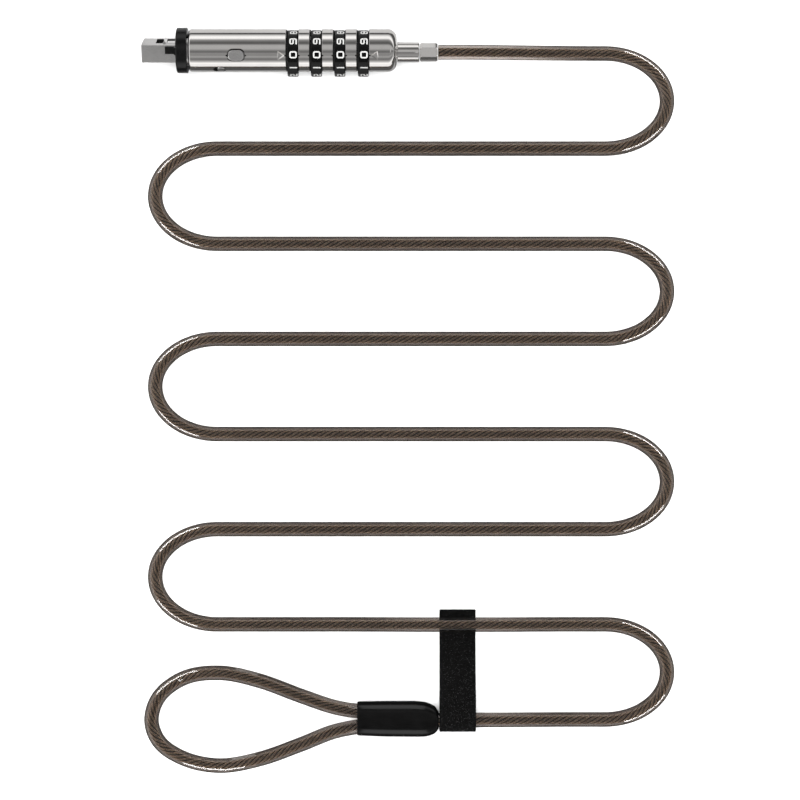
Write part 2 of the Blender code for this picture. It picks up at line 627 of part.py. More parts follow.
def bend(row, steps=6):
    """The half ellipse after a row, without its two ends."""
    side = 1 if row % 2 else -1
    x = ROW_X[1] if side > 0 else ROW_X[0]
    points = []
    for k in range(1, steps):
        angle = math.pi * k / steps
        y = row_y(row) - ROW_PITCH / 2 * (1 - math.cos(angle))
        points.append((x + side * BEND_REACH * math.sin(angle), y, CABLE_R))
    return points


def cable_points():
    points = []
    for row in range(1, ROW_COUNT + 1):
        points += [(x, y, row_z(row, x)) for x, y in row_stations(row)]
        if row < ROW_COUNT:
            points += bend(row)
    return points + [(x * MM, y * MM, z * MM) for x, y, z in LOOP]


def stadium(lower, upper, radius, steps=10):
    """The outline, in Y and Z, round two circles that lie side by side."""
    outline = []
    for middle, first in ((upper, -math.pi / 2), (lower, math.pi / 2)):
        for k in range(steps + 1):
            angle = first + math.pi * k / steps
            outline.append((middle + radius * math.cos(angle), LIFTED_Z + radius * math.sin(angle)))
    return outline


def loop_crimp():
    """The oval metal ferrule pressed round both legs of the loop."""
    crimp = piece("loop_crimp", prism(stadium(*LEG_Y, CRIMP_R), "YZ", *CRIMP_X), None, ZINC)
    bore = stadium(*LEG_Y, CABLE_R + 0.1 * MM)
    cut(crimp, prism(bore, "YZ", CRIMP_X[0] - MM, CRIMP_X[1] + MM))


def loop_sleeve():
    """The moulded sleeve over the crimp: hollow round it, and narrowed to the single cable at its far end."""
    rings = []
    for x, lower, upper, radius in SLEEVE:
        rings.append([(x * MM, y, z) for y, z in stadium(lower * MM, upper * MM, radius * MM)])
    sleeve = piece("loop_sleeve", loft(rings), None, BLACK)
    pocket = (CRIMP_X[0] - GAP, 44 * MM)
    cut(sleeve, prism(stadium(*LEG_Y, CRIMP_R + 0.1 * MM), "YZ", *pocket))
    mouth = stadium(LEG_Y[0] - 0.4 * MM, LEG_Y[1], CABLE_R + 0.2 * MM)
    cut(sleeve, prism(mouth, "YZ", 25 * MM, pocket[0] + 0.1 * MM))
    around = circle(CABLE_R + 0.2 * MM, 24)
    way_out = [(42 * MM, LEG_Y[0]), (51 * MM, -266.2 * MM), (60 * MM, row_y(ROW_COUNT))]
    cut(sleeve, loft([[(x, y + a, LIFTED_Z + b) for a, b in around] for x, y in way_out]))


def strap():
    """A band of hook-and-loop cloth: flat under row 7, over row 8, round it, and back underneath."""
    cable_y = row_y(ROW_COUNT)
    level = STRAP_THICKNESS / 2
    round_r = CABLE_R + GAP + level
    middle = [(-221.5, 0.5), (-229, 0.5), (-237, 0.5), (-242, 0.9), (-246.5, 2.2), (-251, 4.2), (-255, 6.0),
              (-259, 7.2)]
    path = [(y * MM, z * MM) for y, z in middle]
    for k in range(9):
        angle = math.radians(75 + 195 * k / 8)
        across = (round_r + STRAP_SLACK) * math.cos(angle) - STRAP_SLACK
        path.append((cable_y + across, LIFTED_Z + round_r * math.sin(angle)))
    path += [(-261.5 * MM, level), (-258 * MM, level), (-254 * MM, level)]
    over, under = [], []
    for k, (y, z) in enumerate(path):
        before, after = path[max(k - 1, 0)], path[min(k + 1, len(path) - 1)]
        along = math.hypot(after[0] - before[0], after[1] - before[1])
        side = ((after[1] - before[1]) / along * level, -(after[0] - before[0]) / along * level)
        over.append((y + side[0], max(z + side[1], 0)))
        under.append((y - side[0], max(z - side[1], 0)))
    piece("strap", prism(over + under[::-1], "YZ", *STRAP_X), None, CLOTH)


# ---------------------------------------------------------------- assembly


def build():
    for old in list(bpy.data.objects):
        bpy.data.objects.remove(old, do_unlink=True)
    swivel_y = HEAD_Y - SWIVEL_OFFSET * math.cos(ROLL)
    swivel_z = HEAD_Z - SWIVEL_OFFSET * math.sin(ROLL)
    swivel = empty("swivel_axis", None, (HEAD_X, swivel_y, swivel_z), (HEX_ROLL, 0, 0))
    turning = empty("head_axis", None, (HEAD_X, swivel_y, swivel_z), (ROLL, 0, 0))
    head = empty("barrel_axis", turning, (0, SWIVEL_OFFSET, 0))
    core = empty("core_axis", head, (0, -CORE_OFFSET, 0))

    nose_block(head)
    bumper_ring(head)
    latch_parts(head)
    push_rod(head)
    front_barrel(head)
    inner_frame(head)
    release_button(head)
    reset_screw(head)
    spacer_rings(head)
    rear_barrel(head)
    core_tube(core)
    click_spring(core)
    spindle(core)
    for k in range(DIAL_COUNT):
        dial(k, core)
        code_ring(k, core)
    swivel_parts(swivel)

    wire("cable", cable_points(), CABLE_R, 3, None, VINYL)
    loop_crimp()
    loop_sleeve()
    strap()
    bpy.context.view_layer.update()


build()
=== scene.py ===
"""The looks of the laptop cable lock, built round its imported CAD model.

The model's frame is in metres: +X runs from the nose to the cable, +Z is up, and z = 0 is the table. Sizes
here are in millimetres unless a name or a comment says otherwise. The lock head's pieces are made in the
head's frame (x from the bumper's face, y to the latch side, z to the reading line) and then placed by HEAD,
CORE, SWIVEL or HEX.
"""

import math
import random

import bmesh
import bpy
import numpy as np
from mathutils import Matrix, Vector

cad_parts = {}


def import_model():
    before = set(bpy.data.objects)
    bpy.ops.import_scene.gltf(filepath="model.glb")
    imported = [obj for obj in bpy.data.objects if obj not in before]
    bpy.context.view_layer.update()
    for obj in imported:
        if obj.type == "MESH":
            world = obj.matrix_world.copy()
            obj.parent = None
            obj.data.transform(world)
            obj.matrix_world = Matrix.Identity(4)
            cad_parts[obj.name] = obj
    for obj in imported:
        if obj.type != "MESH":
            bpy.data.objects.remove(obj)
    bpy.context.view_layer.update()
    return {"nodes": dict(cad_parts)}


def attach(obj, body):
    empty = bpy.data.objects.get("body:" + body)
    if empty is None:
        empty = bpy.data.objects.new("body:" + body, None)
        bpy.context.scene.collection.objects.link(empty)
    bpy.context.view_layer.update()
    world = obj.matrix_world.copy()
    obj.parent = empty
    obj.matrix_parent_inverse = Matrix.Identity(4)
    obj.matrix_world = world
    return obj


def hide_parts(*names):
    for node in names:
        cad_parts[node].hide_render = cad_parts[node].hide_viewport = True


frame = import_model()
nodes = frame["nodes"]

MM = 0.001

# The head's frames. The dials' core and the swivel stem lie beside the barrel's axis.
ROLL = math.radians(22.5)
HEX_ROLL = math.radians(8.4)
HEAD_AT = Vector((-44.35, 0.64, 9.5695)) * MM
CORE_OFFSET = 1.25
SWIVEL_OFFSET = 0.75
HEAD = Matrix.Translation(HEAD_AT) @ Matrix.Rotation(ROLL, 4, "X") @ Matrix.Scale(MM, 4)
CORE = HEAD @ Matrix.Translation((0, -CORE_OFFSET, 0))
SWIVEL = HEAD @ Matrix.Translation((0, -SWIVEL_OFFSET, 0))
HEX = SWIVEL @ Matrix.Rotation(HEX_ROLL - ROLL, 4, "X")
UPRIGHT = Matrix(((1, 0, 0, 0), (0, 0, 1, 0), (0, 1, 0, 0), (0, 0, 0, 1)))  # swaps Y and Z

# Head. A pair whose name ends in X is a start and an end along the axis.
BARREL_R = 8.36
BARREL_X = (4.5, 86.5)
BARREL_BORE_R = 6.5
BARREL_FRONT_ROUND = 1.0
BARREL_REAR_ROUND = 3.4
BARREL_EDGE = 0.14
FRONT_END_WALL = (4.8, 5.2)  # the wall before the first dial: thickness and bore radius
REAR_END_WALL = (3.5, 3.1)  # the wall round the swivel stem
SPACER_BORE_R = 6.0
ABOVE = 10  # clear of the barrel's surface
BUMPER_R = 8.92
BUMPER_BORE_R = 6.6
BUMPER_X = (-0.4, 3.9)
SHANK_R = 6.2
NOSE = (14.0, 7.1, 11.5)  # length before the bumper, and its section along y and z
LATCH_PIN_AT = (2.2, 1.9)
DIAL_X = [45.5 + 9.28 * k for k in range(4)]
DIAL_FACETS = 10
DIAL_CORNER_R = 9.15
DIAL_LEAN = math.radians(11)
DIAL_HALF = 2.15
DIAL_CHAMFER = 0.35
DIAL_BORE_R = 7.2
DIAL_GAP = (0.42, 0.3)  # before and behind a dial
# The near-black rings of painted shade in the gaps beside the dials: their inner and outer radius, and their
# clearance.
GAP_SHADE_R = (7.0, 8.1)
GAP_SHADE_PLAY = 0.06
ARROW = [(2.6, 0.12), (-0.2, 2.25), (-0.2, -2.25), (2.6, -0.12)]  # tip, base corners, tip
ARROW_INNER_R = 0.965
BUTTON_X = 23.4
BUTTON_SIZE = (6.2, 4.2)
BUTTON_CORNER = 1.75
BUTTON_TOP = 8.45
BUTTON_RIM = 0.3
BUTTON_SLOT_EXTRA = (0.8, 0.9)
BUTTON_SLOT_SHIFT = 0.15
RESET_X = 17.25
RESET_ANGLE = math.radians(51)
RESET_R = 1.6
RESET_SEAT_R = 1.9
RESET_SEAT_RUN = 1.25
RESET_TILT = Matrix.Translation((RESET_X, 0, 0)) @ Matrix.Rotation(RESET_ANGLE, 4, "X")
COLLAR_X = (86.8, 95.5)
COLLAR_R = 3.9
HEX_X = (95.8, 102.7)
HEX_R = 3.66

# Cable and strap. The cable lies in rows along X, one ROW_PITCH apart, joined by bends.
CABLE_R = 2.9
ROW_COUNT = 8
ROW_PITCH = 37.94
ROW_1_Y = 0.4
ROW_X = (-29.4, 125.3)
BEND_REACH = 24.7
BEND_PARTS = 48
ROUTE_STEP = 1.5
DESCENT_X = (64, 124)
LIFTED_Z = 4.2
RAMP = (2, 38)  # where the cable's rise over the strap ends and starts, from the strap's edge
CABLE_START = Vector((58.65, -0.0529, 9.2825))
CABLE_LAST_X = 60.0  # where the last row enters the sleeve
STRAP_X = (59.25, 73.75)
STRAP_THICKNESS = 1.0
STRAP_SLACK = 0.25
FIBRES = 6000
CORE_R = 1.22
STRANDS = 6
STRAND_POINTS = 12
GROOVE = 0.3
LAY = 15.7


# ---------------------------------------------------------------- materials


def graph(name, kind="Material"):
    """An empty node tree and its output node."""
    owner = bpy.data.worlds.new(name) if kind == "World" else bpy.data.materials.new(name)
    owner.use_nodes = True
    tree = owner.node_tree
    tree.nodes.clear()
    return owner, tree, tree.nodes.new(f"ShaderNodeOutput{kind}")


def add(tree, kind, sockets=None, **settings):
    """A node with its settings, and its inputs set to values or linked to outputs."""
    node = tree.nodes.new("ShaderNode" + kind)
    for key, value in settings.items():
        setattr(node, key, value)
    for key, value in (sockets or {}).items():
        if isinstance(value, bpy.types.NodeSocket):
            tree.links.new(value, node.inputs[key])
        else:
            node.inputs[key].default_value = value
    return node


def ramp(tree, factor, stops):
    """A colour ramp's output; each stop is (position, grey or colour)."""
    node = add(tree, "ValToRGB", {"Fac": factor})
    for k, (position, colour) in enumerate(stops):
        colour = (colour,) * 3 if isinstance(colour, (int, float)) else colour
        stop = node.color_ramp.elements[k] if k < 2 else node.color_ramp.elements.new(position)
        stop.position = position
        stop.color = (*colour, 1)
    return node.outputs["Color"]


def noise(tree, scale, detail, stretch=(1, 1, 1)):
    """Noise in the object's own space; scale is in grains per metre."""
    place = add(tree, "TexCoord").outputs["Object"]
    if stretch != (1, 1, 1):
        place = add(tree, "Mapping", {"Vector": place, "Scale": stretch}).outputs["Vector"]
    return add(tree, "TexNoise", {"Vector": place, "Scale": scale, "Detail": detail}).outputs["Fac"]


def look(name, colour, second, grain, roughness, metallic, bump, bump_grain, stretch=(1, 1, 1), **sockets):
    """A Principled material: two greys or colours mixed by a noise, uneven roughness, and a fine bump."""
    material, tree, output = graph(name)
    patches = noise(tree, grain, 4.0)
    fine = noise(tree, bump_grain, 3.0, stretch)
    tint = ramp(tree, patches, [(0.35, colour), (0.65, second)])
    low, high = roughness
    rough = add(tree, "MapRange", {"Value": fine, "From Min": 0.3, "From Max": 0.7,
                                   "To Min": low, "To Max": high})
    normal = add(tree, "Bump", {"Height": fine, "Strength": 1.0, "Distance": bump})
    shader = add(tree, "BsdfPrincipled", {"Base Color": tint, "Metallic": metallic,
                                          "Roughness": rough.outputs["Result"],
                                          "Normal": normal.outputs["Normal"], **sockets})
    tree.links.new(shader.outputs["BSDF"], output.inputs["Surface"])
    return material


LATHE = (30, 1, 1)  # noise stretched round X, like the marks of turning
DULL = {"Specular IOR Level": 0.2}
SATIN_BLACK = {"Specular IOR Level": 0.32}
MATT = {"Specular IOR Level": 0.1}

# Name, two greys or colours, grains per metre, roughness, metallic, bump in metres, bump grains per metre.
nickel = look("nickel_finish", (0.79, 0.77, 0.75), (0.75, 0.73, 0.71), 90, (0.07, 0.12), 1.0, 4e-7, 160,
              LATHE)
satin = look("satin_finish", (0.72, 0.71, 0.70), (0.67, 0.66, 0.65), 300, (0.26, 0.36), 1.0, 1.2e-6, 5000)
bright = look("latch_finish", (0.96, 0.95, 0.94), (0.88, 0.87, 0.86), 500, (0.10, 0.20), 1.0, 1e-6, 3000)
steel = look("steel_finish", (0.56, 0.56, 0.57), (0.47, 0.47, 0.48), 700, (0.22, 0.36), 1.0, 1e-6, 4000)
brass = look("brass_finish", (0.78, 0.60, 0.30), (0.66, 0.49, 0.22), 500, (0.20, 0.36), 1.0, 1e-6, 4000)
zinc = look("zinc_finish", (0.58, 0.58, 0.60), (0.50, 0.50, 0.52), 400, (0.34, 0.50), 1.0, 4e-6, 2500)
# Near black for the walls of holes, slots, notches and gaps: painted shade where these look dark.
painted_shade = look("painted_shade_black", 0.004, 0.008, 900, (0.4, 0.6), 0.0, 2e-6, 4000, **DULL)
rubber = look("bumper_finish", 0.001, 0.002, 900, (0.20, 0.28), 0.0, 4e-6, 3500, **SATIN_BLACK)
black = look("dial_finish", 0.001, 0.002, 700, (0.16, 0.26), 0.0, 3e-6, 3000, **DULL)
paint = look("digit_paint", (0.52, 0.52, 0.51), (0.46, 0.46, 0.45), 1500, (0.40, 0.55), 0.0, 4e-6, 5000)
sleeve_black = look("sleeve_finish", 0.001, 0.002, 300, (0.16, 0.24), 0.0, 5e-6, 700, **DULL)
strand_steel = look("strand_finish", (0.46, 0.36, 0.27), (0.28, 0.22, 0.165), 1200, (0.22, 0.36), 1.0, 3e-6,
                    5000)
# Near black for the faces in the grooves between the strands: painted shade.
groove_shade = look("groove_painted_shade", (0.006, 0.005, 0.004), (0.012, 0.010, 0.008), 1200, (0.5, 0.7), 0.0, 3e-6,
                   5000, **DULL)
cloth = look("strap_finish", 0.001, 0.004, 1500, (0.85, 1.0), 0.0, 1.2e-4, 2600, **MATT)
fibre = look("fibre_finish", 0.004, (0.2, 0.2, 0.202), 1300, (0.5, 0.7), 0.0, 1e-6, 3000, **DULL)


def vinyl():
    """Smoky clear vinyl, with faint long waves in its skin."""
    material, tree, output = graph("jacket_finish")
    waves = noise(tree, 220, 2.0)
    middle = ramp(tree, noise(tree, 40, 2.0), [(0.3, (0.37, 0.33, 0.305)), (0.7, (0.335, 0.295, 0.27))])
    # Towards its outline the colour turns almost black: painted shade for the dark outline of the clear skin
    # seen edge-on.
    depth = add(tree, "LayerWeight", {"Blend": 0.5}).outputs["Facing"]
    rim_shade = add(tree, "MapRange", {"Value": depth, "From Min": 0.5, "From Max": 0.6})
    tint = add(tree, "Mix", {0: rim_shade.outputs["Result"], 6: middle, 7: (0.008, 0.007, 0.006, 1)},
               data_type="RGBA").outputs[2]
    normal = add(tree, "Bump", {"Height": waves, "Strength": 1.0, "Distance": 1.5e-5})
    shader = add(tree, "BsdfPrincipled", {"Base Color": tint, "Roughness": 0.03, "IOR": 1.5,
                                          "Transmission Weight": 1.0, "Normal": normal.outputs["Normal"]})
    # Light reaches the strands and the table through the skin.
    through = add(tree, "BsdfTransparent", {"Color": (0.8, 0.78, 0.76, 1)})
    shadow = add(tree, "LightPath").outputs["Is Shadow Ray"]
    mix = add(tree, "MixShader", {0: shadow, 1: shader.outputs[0], 2: through.outputs[0]})
    tree.links.new(mix.outputs[0], output.inputs["Surface"])
    return material


jacket_vinyl = vinyl()


# ---------------------------------------------------------------- shapes


def new_object(name, data):
    """An object in the scene."""
    made = bpy.data.objects.new(name, data)
    bpy.context.scene.collection.objects.link(made)
    return made


def mesh_from(bm, name):
    """A new mesh from a bmesh, which is freed."""
    mesh = bpy.data.meshes.new(name)
    bm.to_mesh(mesh)
    bm.free()
    return mesh


def mesh_object(name, mesh, material, body, stands_for=(), sharp=30):
    """A finished piece of the object, on its CAD body; edges steeper than sharp degrees stay sharp."""
    if material:
        mesh.materials.clear()
        mesh.materials.append(material)
    mesh.shade_smooth()
    mesh.set_sharp_from_angle(angle=math.radians(sharp))
    made = new_object(name, mesh)
    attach(made, body)
    if stands_for:
        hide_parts(*stands_for)
    return made


def mesh_of(rings, capped=True, place=None):
    """A mesh skinned over rings of points (ring, point, 3), capped at its ends or joined end to start."""
    rings = np.asarray(rings, float)
    count, around, _ = rings.shape
    k, j = np.meshgrid(np.arange(count - 1 if capped else count), np.arange(around), indexing="ij")
    after = (j + 1) % around
    beyond = (k + 1) % count
    quads = np.stack([k * around + j, k * around + after, beyond * around + after, beyond * around + j], -1)
    faces = quads.reshape(-1, 4).tolist()
    if capped:
        faces.append(list(range(around))[::-1])
        faces.append(list(range((count - 1) * around, count * around)))
    mesh = bpy.data.meshes.new("skin")
    mesh.from_pydata(rings.reshape(-1, 3).tolist(), [], faces)
    if place is not None:
        mesh.transform(place)
    fix_normals(mesh)
    return mesh


def fix_normals(mesh):
    """Turns every face outwards."""
    bm = bmesh.new()
    bm.from_mesh(mesh)
    bmesh.ops.recalc_face_normals(bm, faces=bm.faces)
    bm.to_mesh(mesh)
    bm.free()


def turned(profile, segments, place, hollow=False):
    """A profile of (x, radius) turned about X; a hollow one is a closed loop."""
    angles = np.linspace(0, 2 * math.pi, segments, endpoint=False)
    rings = [[(x, r * math.cos(a), r * math.sin(a)) for a in angles] for x, r in profile]
    return mesh_of(rings, capped=not hollow, place=place)


def prism(outline, low, high, place, flip=None):
    """An outline in XY pushed from low to high along Z, turned by flip and then placed."""
    rings = [[(x, y, z) for x, y in outline] for z in (low, high)]
    return mesh_of(rings, place=place @ flip if flip else place)


def arc(centre, radius, start, end, steps=8):
    """Points of an arc, angles in degrees."""
    angles = [math.radians(start + (end - start) * k / steps) for k in range(steps + 1)]
    return [(centre[0] + radius * math.cos(a), centre[1] + radius * math.sin(a)) for a in angles]


def circle(centre, radius, count):
    """Points evenly round a circle."""
    return arc(centre, radius, 0, 360 - 360 / count, count - 1)


def rectangle(x, y):
    """The corners of a rectangle between two x and two y."""
    return [(x[0], y[0]), (x[1], y[0]), (x[1], y[1]), (x[0], y[1])]


def rounded(width, height, corner, centre=(0.0, 0.0), steps=10):
    """The outline of a rectangle with round corners."""
    outline = []
    for turn, (sx, sy) in enumerate(((1, 1), (-1, 1), (-1, -1), (1, -1))):
        middle = (centre[0] + sx * (width / 2 - corner), centre[1] + sy * (height / 2 - corner))
        outline += arc(middle, corner, 90 * turn, 90 * turn + 90, steps)
    return outline


def carve(mesh, tools, operation="DIFFERENCE"):
    """A mesh with others cut out of it or joined to it."""
    base = new_object("base", mesh)
    helpers = [base]
    for tool in tools:
        helper = new_object("tool", tool)
        helpers.append(helper)
        modifier = base.modifiers.new("carve", "BOOLEAN")
        modifier.operation = operation
        modifier.solver = "EXACT"
        modifier.material_mode = "TRANSFER"
        modifier.object = helper
    view = bpy.context.evaluated_depsgraph_get()
    result = bpy.data.meshes.new_from_object(base.evaluated_get(view))
    for helper in helpers:
        bpy.data.objects.remove(helper)
    return result


def true_round(mesh, place, radius):
    """Gives the faces of a round wall the normals of its cylinder, so that its reflections run straight."""
    inverse = place.inverted()
    turn = place.to_3x3().normalized()
    points = [inverse @ v.co for v in mesh.vertices]
    normals = [Vector(n.vector) for n in mesh.corner_normals]
    for face in mesh.polygons:
        corners = [points[v] for v in face.vertices]
        if any(abs(math.hypot(c.y, c.z) - radius) > 0.01 for c in corners):
            continue
        for loop, corner in zip(face.loop_indices, corners):
            normals[loop] = (turn @ Vector((0, corner.y, corner.z))).normalized()
    mesh.normals_split_custom_set(normals)


# ---------------------------------------------------------------- barrel


def notch(x):
    """The small mark at the edge of a dial's slot, on the reading line."""
    return prism(rectangle((x - 0.5, x + 0.5), (-0.3, 0.3)), BARREL_R - 0.5, 9.5, HEAD)


def arrow(apex, direction):
    """The engraved triangle that points at the dials, its walls sloping at 45 degrees."""
    middle = apex - direction * (ARROW[0][0] - ARROW_INNER_R)
    rings = []
    for depth in (-0.4, 0.3):
        spread = 1 + depth / ARROW_INNER_R
        rings.append([(middle + direction * spread * (x - ARROW_INNER_R), spread * y, BARREL_R + depth)
                      for x, y in ARROW])
    return mesh_of(rings, place=HEAD)


def barrel_piece(stands_for, profile, tools, mark=None):
    """A length of barrel; the walls of the holes and notches cut in it are painted near black as shade, and
    an engraved mark is bright.
    """
    mesh = turned(profile, 256, HEAD, hollow=True)
    mesh.materials.append(nickel)
    # The tools carry the near-black material onto the walls they cut: painted shade inside the holes and
    # notches.
    for tool in tools:
        tool.materials.append(painted_shade)
    if mark:
        mark.materials.append(nickel)
        tools = [mark] + tools
    mesh = carve(mesh, tools)
    mesh_object(stands_for + "_fine", mesh, None, "lock_head", [stands_for], sharp=28)
    true_round(mesh, HEAD, BARREL_R)


def front_corner(x, radius, steps=5):
    """The rounded front corner of a barrel piece that starts at x."""
    return arc((x + radius, BARREL_R - radius), radius, 180, 90, steps)


def rear_corner(x, radius, steps=5):
    """The rounded rear corner of a barrel piece that ends at x."""
    return arc((x - radius, BARREL_R - radius), radius, 90, 0, steps)


def button_tools():
    """The slot that the button sits in, and the small pointed marks round it."""
    width, height = (side + extra for side, extra in zip(BUTTON_SIZE, BUTTON_SLOT_EXTRA))
    slot = rounded(width, height, BUTTON_CORNER + 0.4, (BUTTON_X, BUTTON_SLOT_SHIFT))
    reach = BUTTON_SIZE[0] / 2 + 1.0
    corners = [(-1, 0.1), (-1, -0.1), (-0.8, -0.55), (0.8, -0.55), (1, -0.1), (1, 0.1), (0.8, 0.55),
               (-0.8, 0.55)]
    marks = [(BUTTON_X + x * reach, y) for x, y in corners]
    return [prism(slot, 4, ABOVE, HEAD), prism(marks, BARREL_R - 0.45, ABOVE, HEAD)]


def reset_tools():
    """The keyhole-shaped seat of the reset screw, and the hole for its stem."""
    seat = arc((0, 0), RESET_SEAT_R, -90, 90, 24) + arc((-RESET_SEAT_RUN, 0), RESET_SEAT_R, 90, 270, 24)
    stem = circle((0, 0), RESET_R, 24)
    return [prism(seat, 7.1, ABOVE, HEAD, RESET_TILT), prism(stem, 5, 7.5, HEAD, RESET_TILT)]


def barrel():
    """The front barrel, the rings between the dials, and the rear barrel."""
    start, end = BARREL_X[0], DIAL_X[0] - DIAL_HALF - DIAL_GAP[0]
    wall, bore = FRONT_END_WALL
    profile = [(start, BARREL_BORE_R)] + front_corner(start, BARREL_FRONT_ROUND, 8)
    profile += rear_corner(end, BARREL_EDGE) + [(end, bore), (end - wall, bore), (end - wall, BARREL_BORE_R)]
    barrel_piece("front_barrel", profile, button_tools() + reset_tools() + [notch(end)], arrow(42.4, 1))

    for k in range(3):
        start = DIAL_X[k] + DIAL_HALF + DIAL_GAP[1]
        end = DIAL_X[k + 1] - DIAL_HALF - DIAL_GAP[0]
        profile = [(start, SPACER_BORE_R)] + front_corner(start, BARREL_EDGE) + rear_corner(end, BARREL_EDGE)
        barrel_piece(f"spacer_ring_{k + 1}", profile + [(end, SPACER_BORE_R)], [notch(start), notch(end)])

    start, end = DIAL_X[3] + DIAL_HALF + DIAL_GAP[1], BARREL_X[1]
    wall, bore = REAR_END_WALL
    profile = [(start, SPACER_BORE_R)] + front_corner(start, BARREL_EDGE)
    profile += rear_corner(end, BARREL_REAR_ROUND, 20)
    profile += [(end, bore), (end - wall, bore), (end - wall, SPACER_BORE_R)]
    barrel_piece("rear_barrel", profile, [notch(start)], arrow(start + 0.7, -1))


def gap_shades():
    """Thin near-black rings in the gaps beside each dial: painted shade where the gaps look dark."""
    for number, middle in enumerate(DIAL_X):
        for side, gap in zip((-1, 1), DIAL_GAP):
            near, far = (middle + side * (DIAL_HALF + play) for play in (GAP_SHADE_PLAY, gap - GAP_SHADE_PLAY))
            inner, outer = GAP_SHADE_R
            profile = [(near, inner), (near, outer), (far, outer), (far, inner)]
            mesh = turned(profile, 160, HEAD, hollow=True)
            end = "front" if side < 0 else "rear"
            mesh_object(f"dial_{number + 1}_gap_shade_{end}", mesh, painted_shade, "lock_head")


def button():
    """The pill-shaped button, with a rounded rim and a shallow dish, and its stem and wedge."""
    rings = [(5.0, 0.0), (BUTTON_TOP - BUTTON_RIM, 0.0)]  # height and inset
    for k in range(1, 7):
        angle = k * math.pi / 12
        height = BUTTON_TOP - BUTTON_RIM + BUTTON_RIM * math.sin(angle)
        rings.append((height, BUTTON_RIM * (1 - math.cos(angle))))
    rings += [(BUTTON_TOP - 0.03, 0.6), (BUTTON_TOP - 0.05, 1.1), (BUTTON_TOP - 0.05, 1.2)]
    points = [[(x, y, z) for x, y in rounded(BUTTON_SIZE[0] - 2 * inset, BUTTON_SIZE[1] - 2 * inset,
                                             BUTTON_CORNER - inset, (BUTTON_X, 0))] for z, inset in rings]
    flange = prism(rounded(8.2, 5.4, 2, (BUTTON_X, 0)), 4.6, 5.4, HEAD)
    stem = prism(circle((BUTTON_X, 0), 1.7, 24), 1.8, 4.7, HEAD)
    wedge = prism([(20.8, 2.0), (26.0, 2.0), (23.6, -0.4), (23.2, -0.4)], -1.2, 1.2, HEAD, UPRIGHT)
    mesh = carve(mesh_of(points, place=HEAD), [flange, stem, wedge], "UNION")
    mesh_object("release_button_fine", mesh, satin, "button", ["release_button"], sharp=40)
    # The faces that close the top and the flange have many corners, and look stained unless they are flat.
    for face in mesh.polygons:
        if len(face.vertices) > 20:
            face.use_smooth = False


def reset_screw():
    """The slotted screw for changing the code, with the flange that keeps it in."""
    upright = RESET_TILT @ Matrix.Rotation(-math.pi / 2, 4, "Y")
    profile = [(4.3, 2.0), (5.1, 2.0), (5.1, 1.3), (7.3, 1.3), (7.3, RESET_R)]
    profile += arc((8.0, RESET_R - 0.3), 0.3, 90, 0, 5)
    mesh = turned(profile, 64, HEAD @ upright)
    slot = rectangle((-3, 3), (-0.35, 0.35))
    mesh = carve(mesh, [prism(slot, 7.65, 9.5, HEAD, RESET_TILT)])
    mesh_object("reset_screw_fine", mesh, satin, "reset", ["reset_screw"])


# ---------------------------------------------------------------- dials


DIGITS = {  # strokes through corners, from -1 to 1 across and up; a closed stroke ends where it starts
    0: [[(-1, -1), (1, -1), (1, 1), (-1, 1), (-1, -1)]],
    1: [[(0, -1), (0, 1)]],
    2: [[(-1, 1), (1, 1), (1, 0), (-1, 0), (-1, -1), (1, -1)]],
    3: [[(-1, 1), (1, 1), (1, -1), (-1, -1)], [(-0.4, 0), (0.72, 0)]],
    4: [[(-1, 1), (-1, -0.1), (0.72, -0.1)], [(1, 1), (1, -1)]],
    5: [[(1, 1), (-1, 1), (-1, 0), (1, 0), (1, -1), (-1, -1)]],
    6: [[(1, 1), (-1, 1), (-1, -1), (1, -1), (1, 0), (-0.72, 0)]],
    7: [[(-1, 1), (1, 1), (1, 0.4), (0, -1)]],
    8: [[(-1, -1), (1, -1), (1, 1), (-1, 1), (-1, -1)], [(-0.72, 0), (0.72, 0)]],
    9: [[(-1, -1), (1, -1), (1, 1), (-1, 1), (-1, 0), (0.72, 0)]],
}
STROKE = 0.56
STROKE_CORNER = 0.62
STROKE_HEIGHT = 0.045  # of the first stroke; the next ones stand a little higher, so that they don't flicker
STROKE_STEP = 0.006
DIGIT_SIZE = (2.8, 2.95)
DIGIT_SHIFT = 0.4


def rounded_path(path, corner, steps=5):
    """A path whose corners are rounded; a closed one ends where it starts."""
    closed = path[0] == path[-1]
    points = [Vector(p) for p in (path[:-1] if closed else path)]
    count = len(points)
    out = []
    for k, here in enumerate(points):
        if not closed and k in (0, count - 1):
            out.append(here)
            continue
        before, after = points[k - 1], points[(k + 1) % count]
        cut = min(corner, (before - here).length * 0.5, (after - here).length * 0.5)
        a, b = here + (before - here).normalized() * cut, here + (after - here).normalized() * cut
        for j in range(steps + 1):
            t = j / steps
            out.append(a * (1 - t) ** 2 + here * 2 * t * (1 - t) + b * t ** 2)
    return out, closed


def stroke_rings(path, level):
    """Cross-sections of a stroke: left low, left high, right high, right low."""
    half_u, half_v = ((side - STROKE) / 2 for side in DIGIT_SIZE)
    scaled = [(u * half_u, v * half_v) for u, v in path]
    points, closed = rounded_path(scaled, STROKE_CORNER)
    if not closed:
        points[0] = points[0] + (points[0] - points[1]).normalized() * STROKE / 2
        points[-1] = points[-1] + (points[-1] - points[-2]).normalized() * STROKE / 2
    rings = []
    for k, here in enumerate(points):
        before = points[k - 1] if closed or k else here
        after = points[(k + 1) % len(points)] if closed or k < len(points) - 1 else here
        along = ((here - before).normalized() + (after - here).normalized()).normalized()
        side = Vector((-along.y, along.x)) * STROKE / 2
        left, right = here + side, here - side
        rings.append([(left.x, left.y, -0.2), (left.x, left.y, level), (right.x, right.y, level),
                      (right.x, right.y, -0.2)])
    return rings, closed


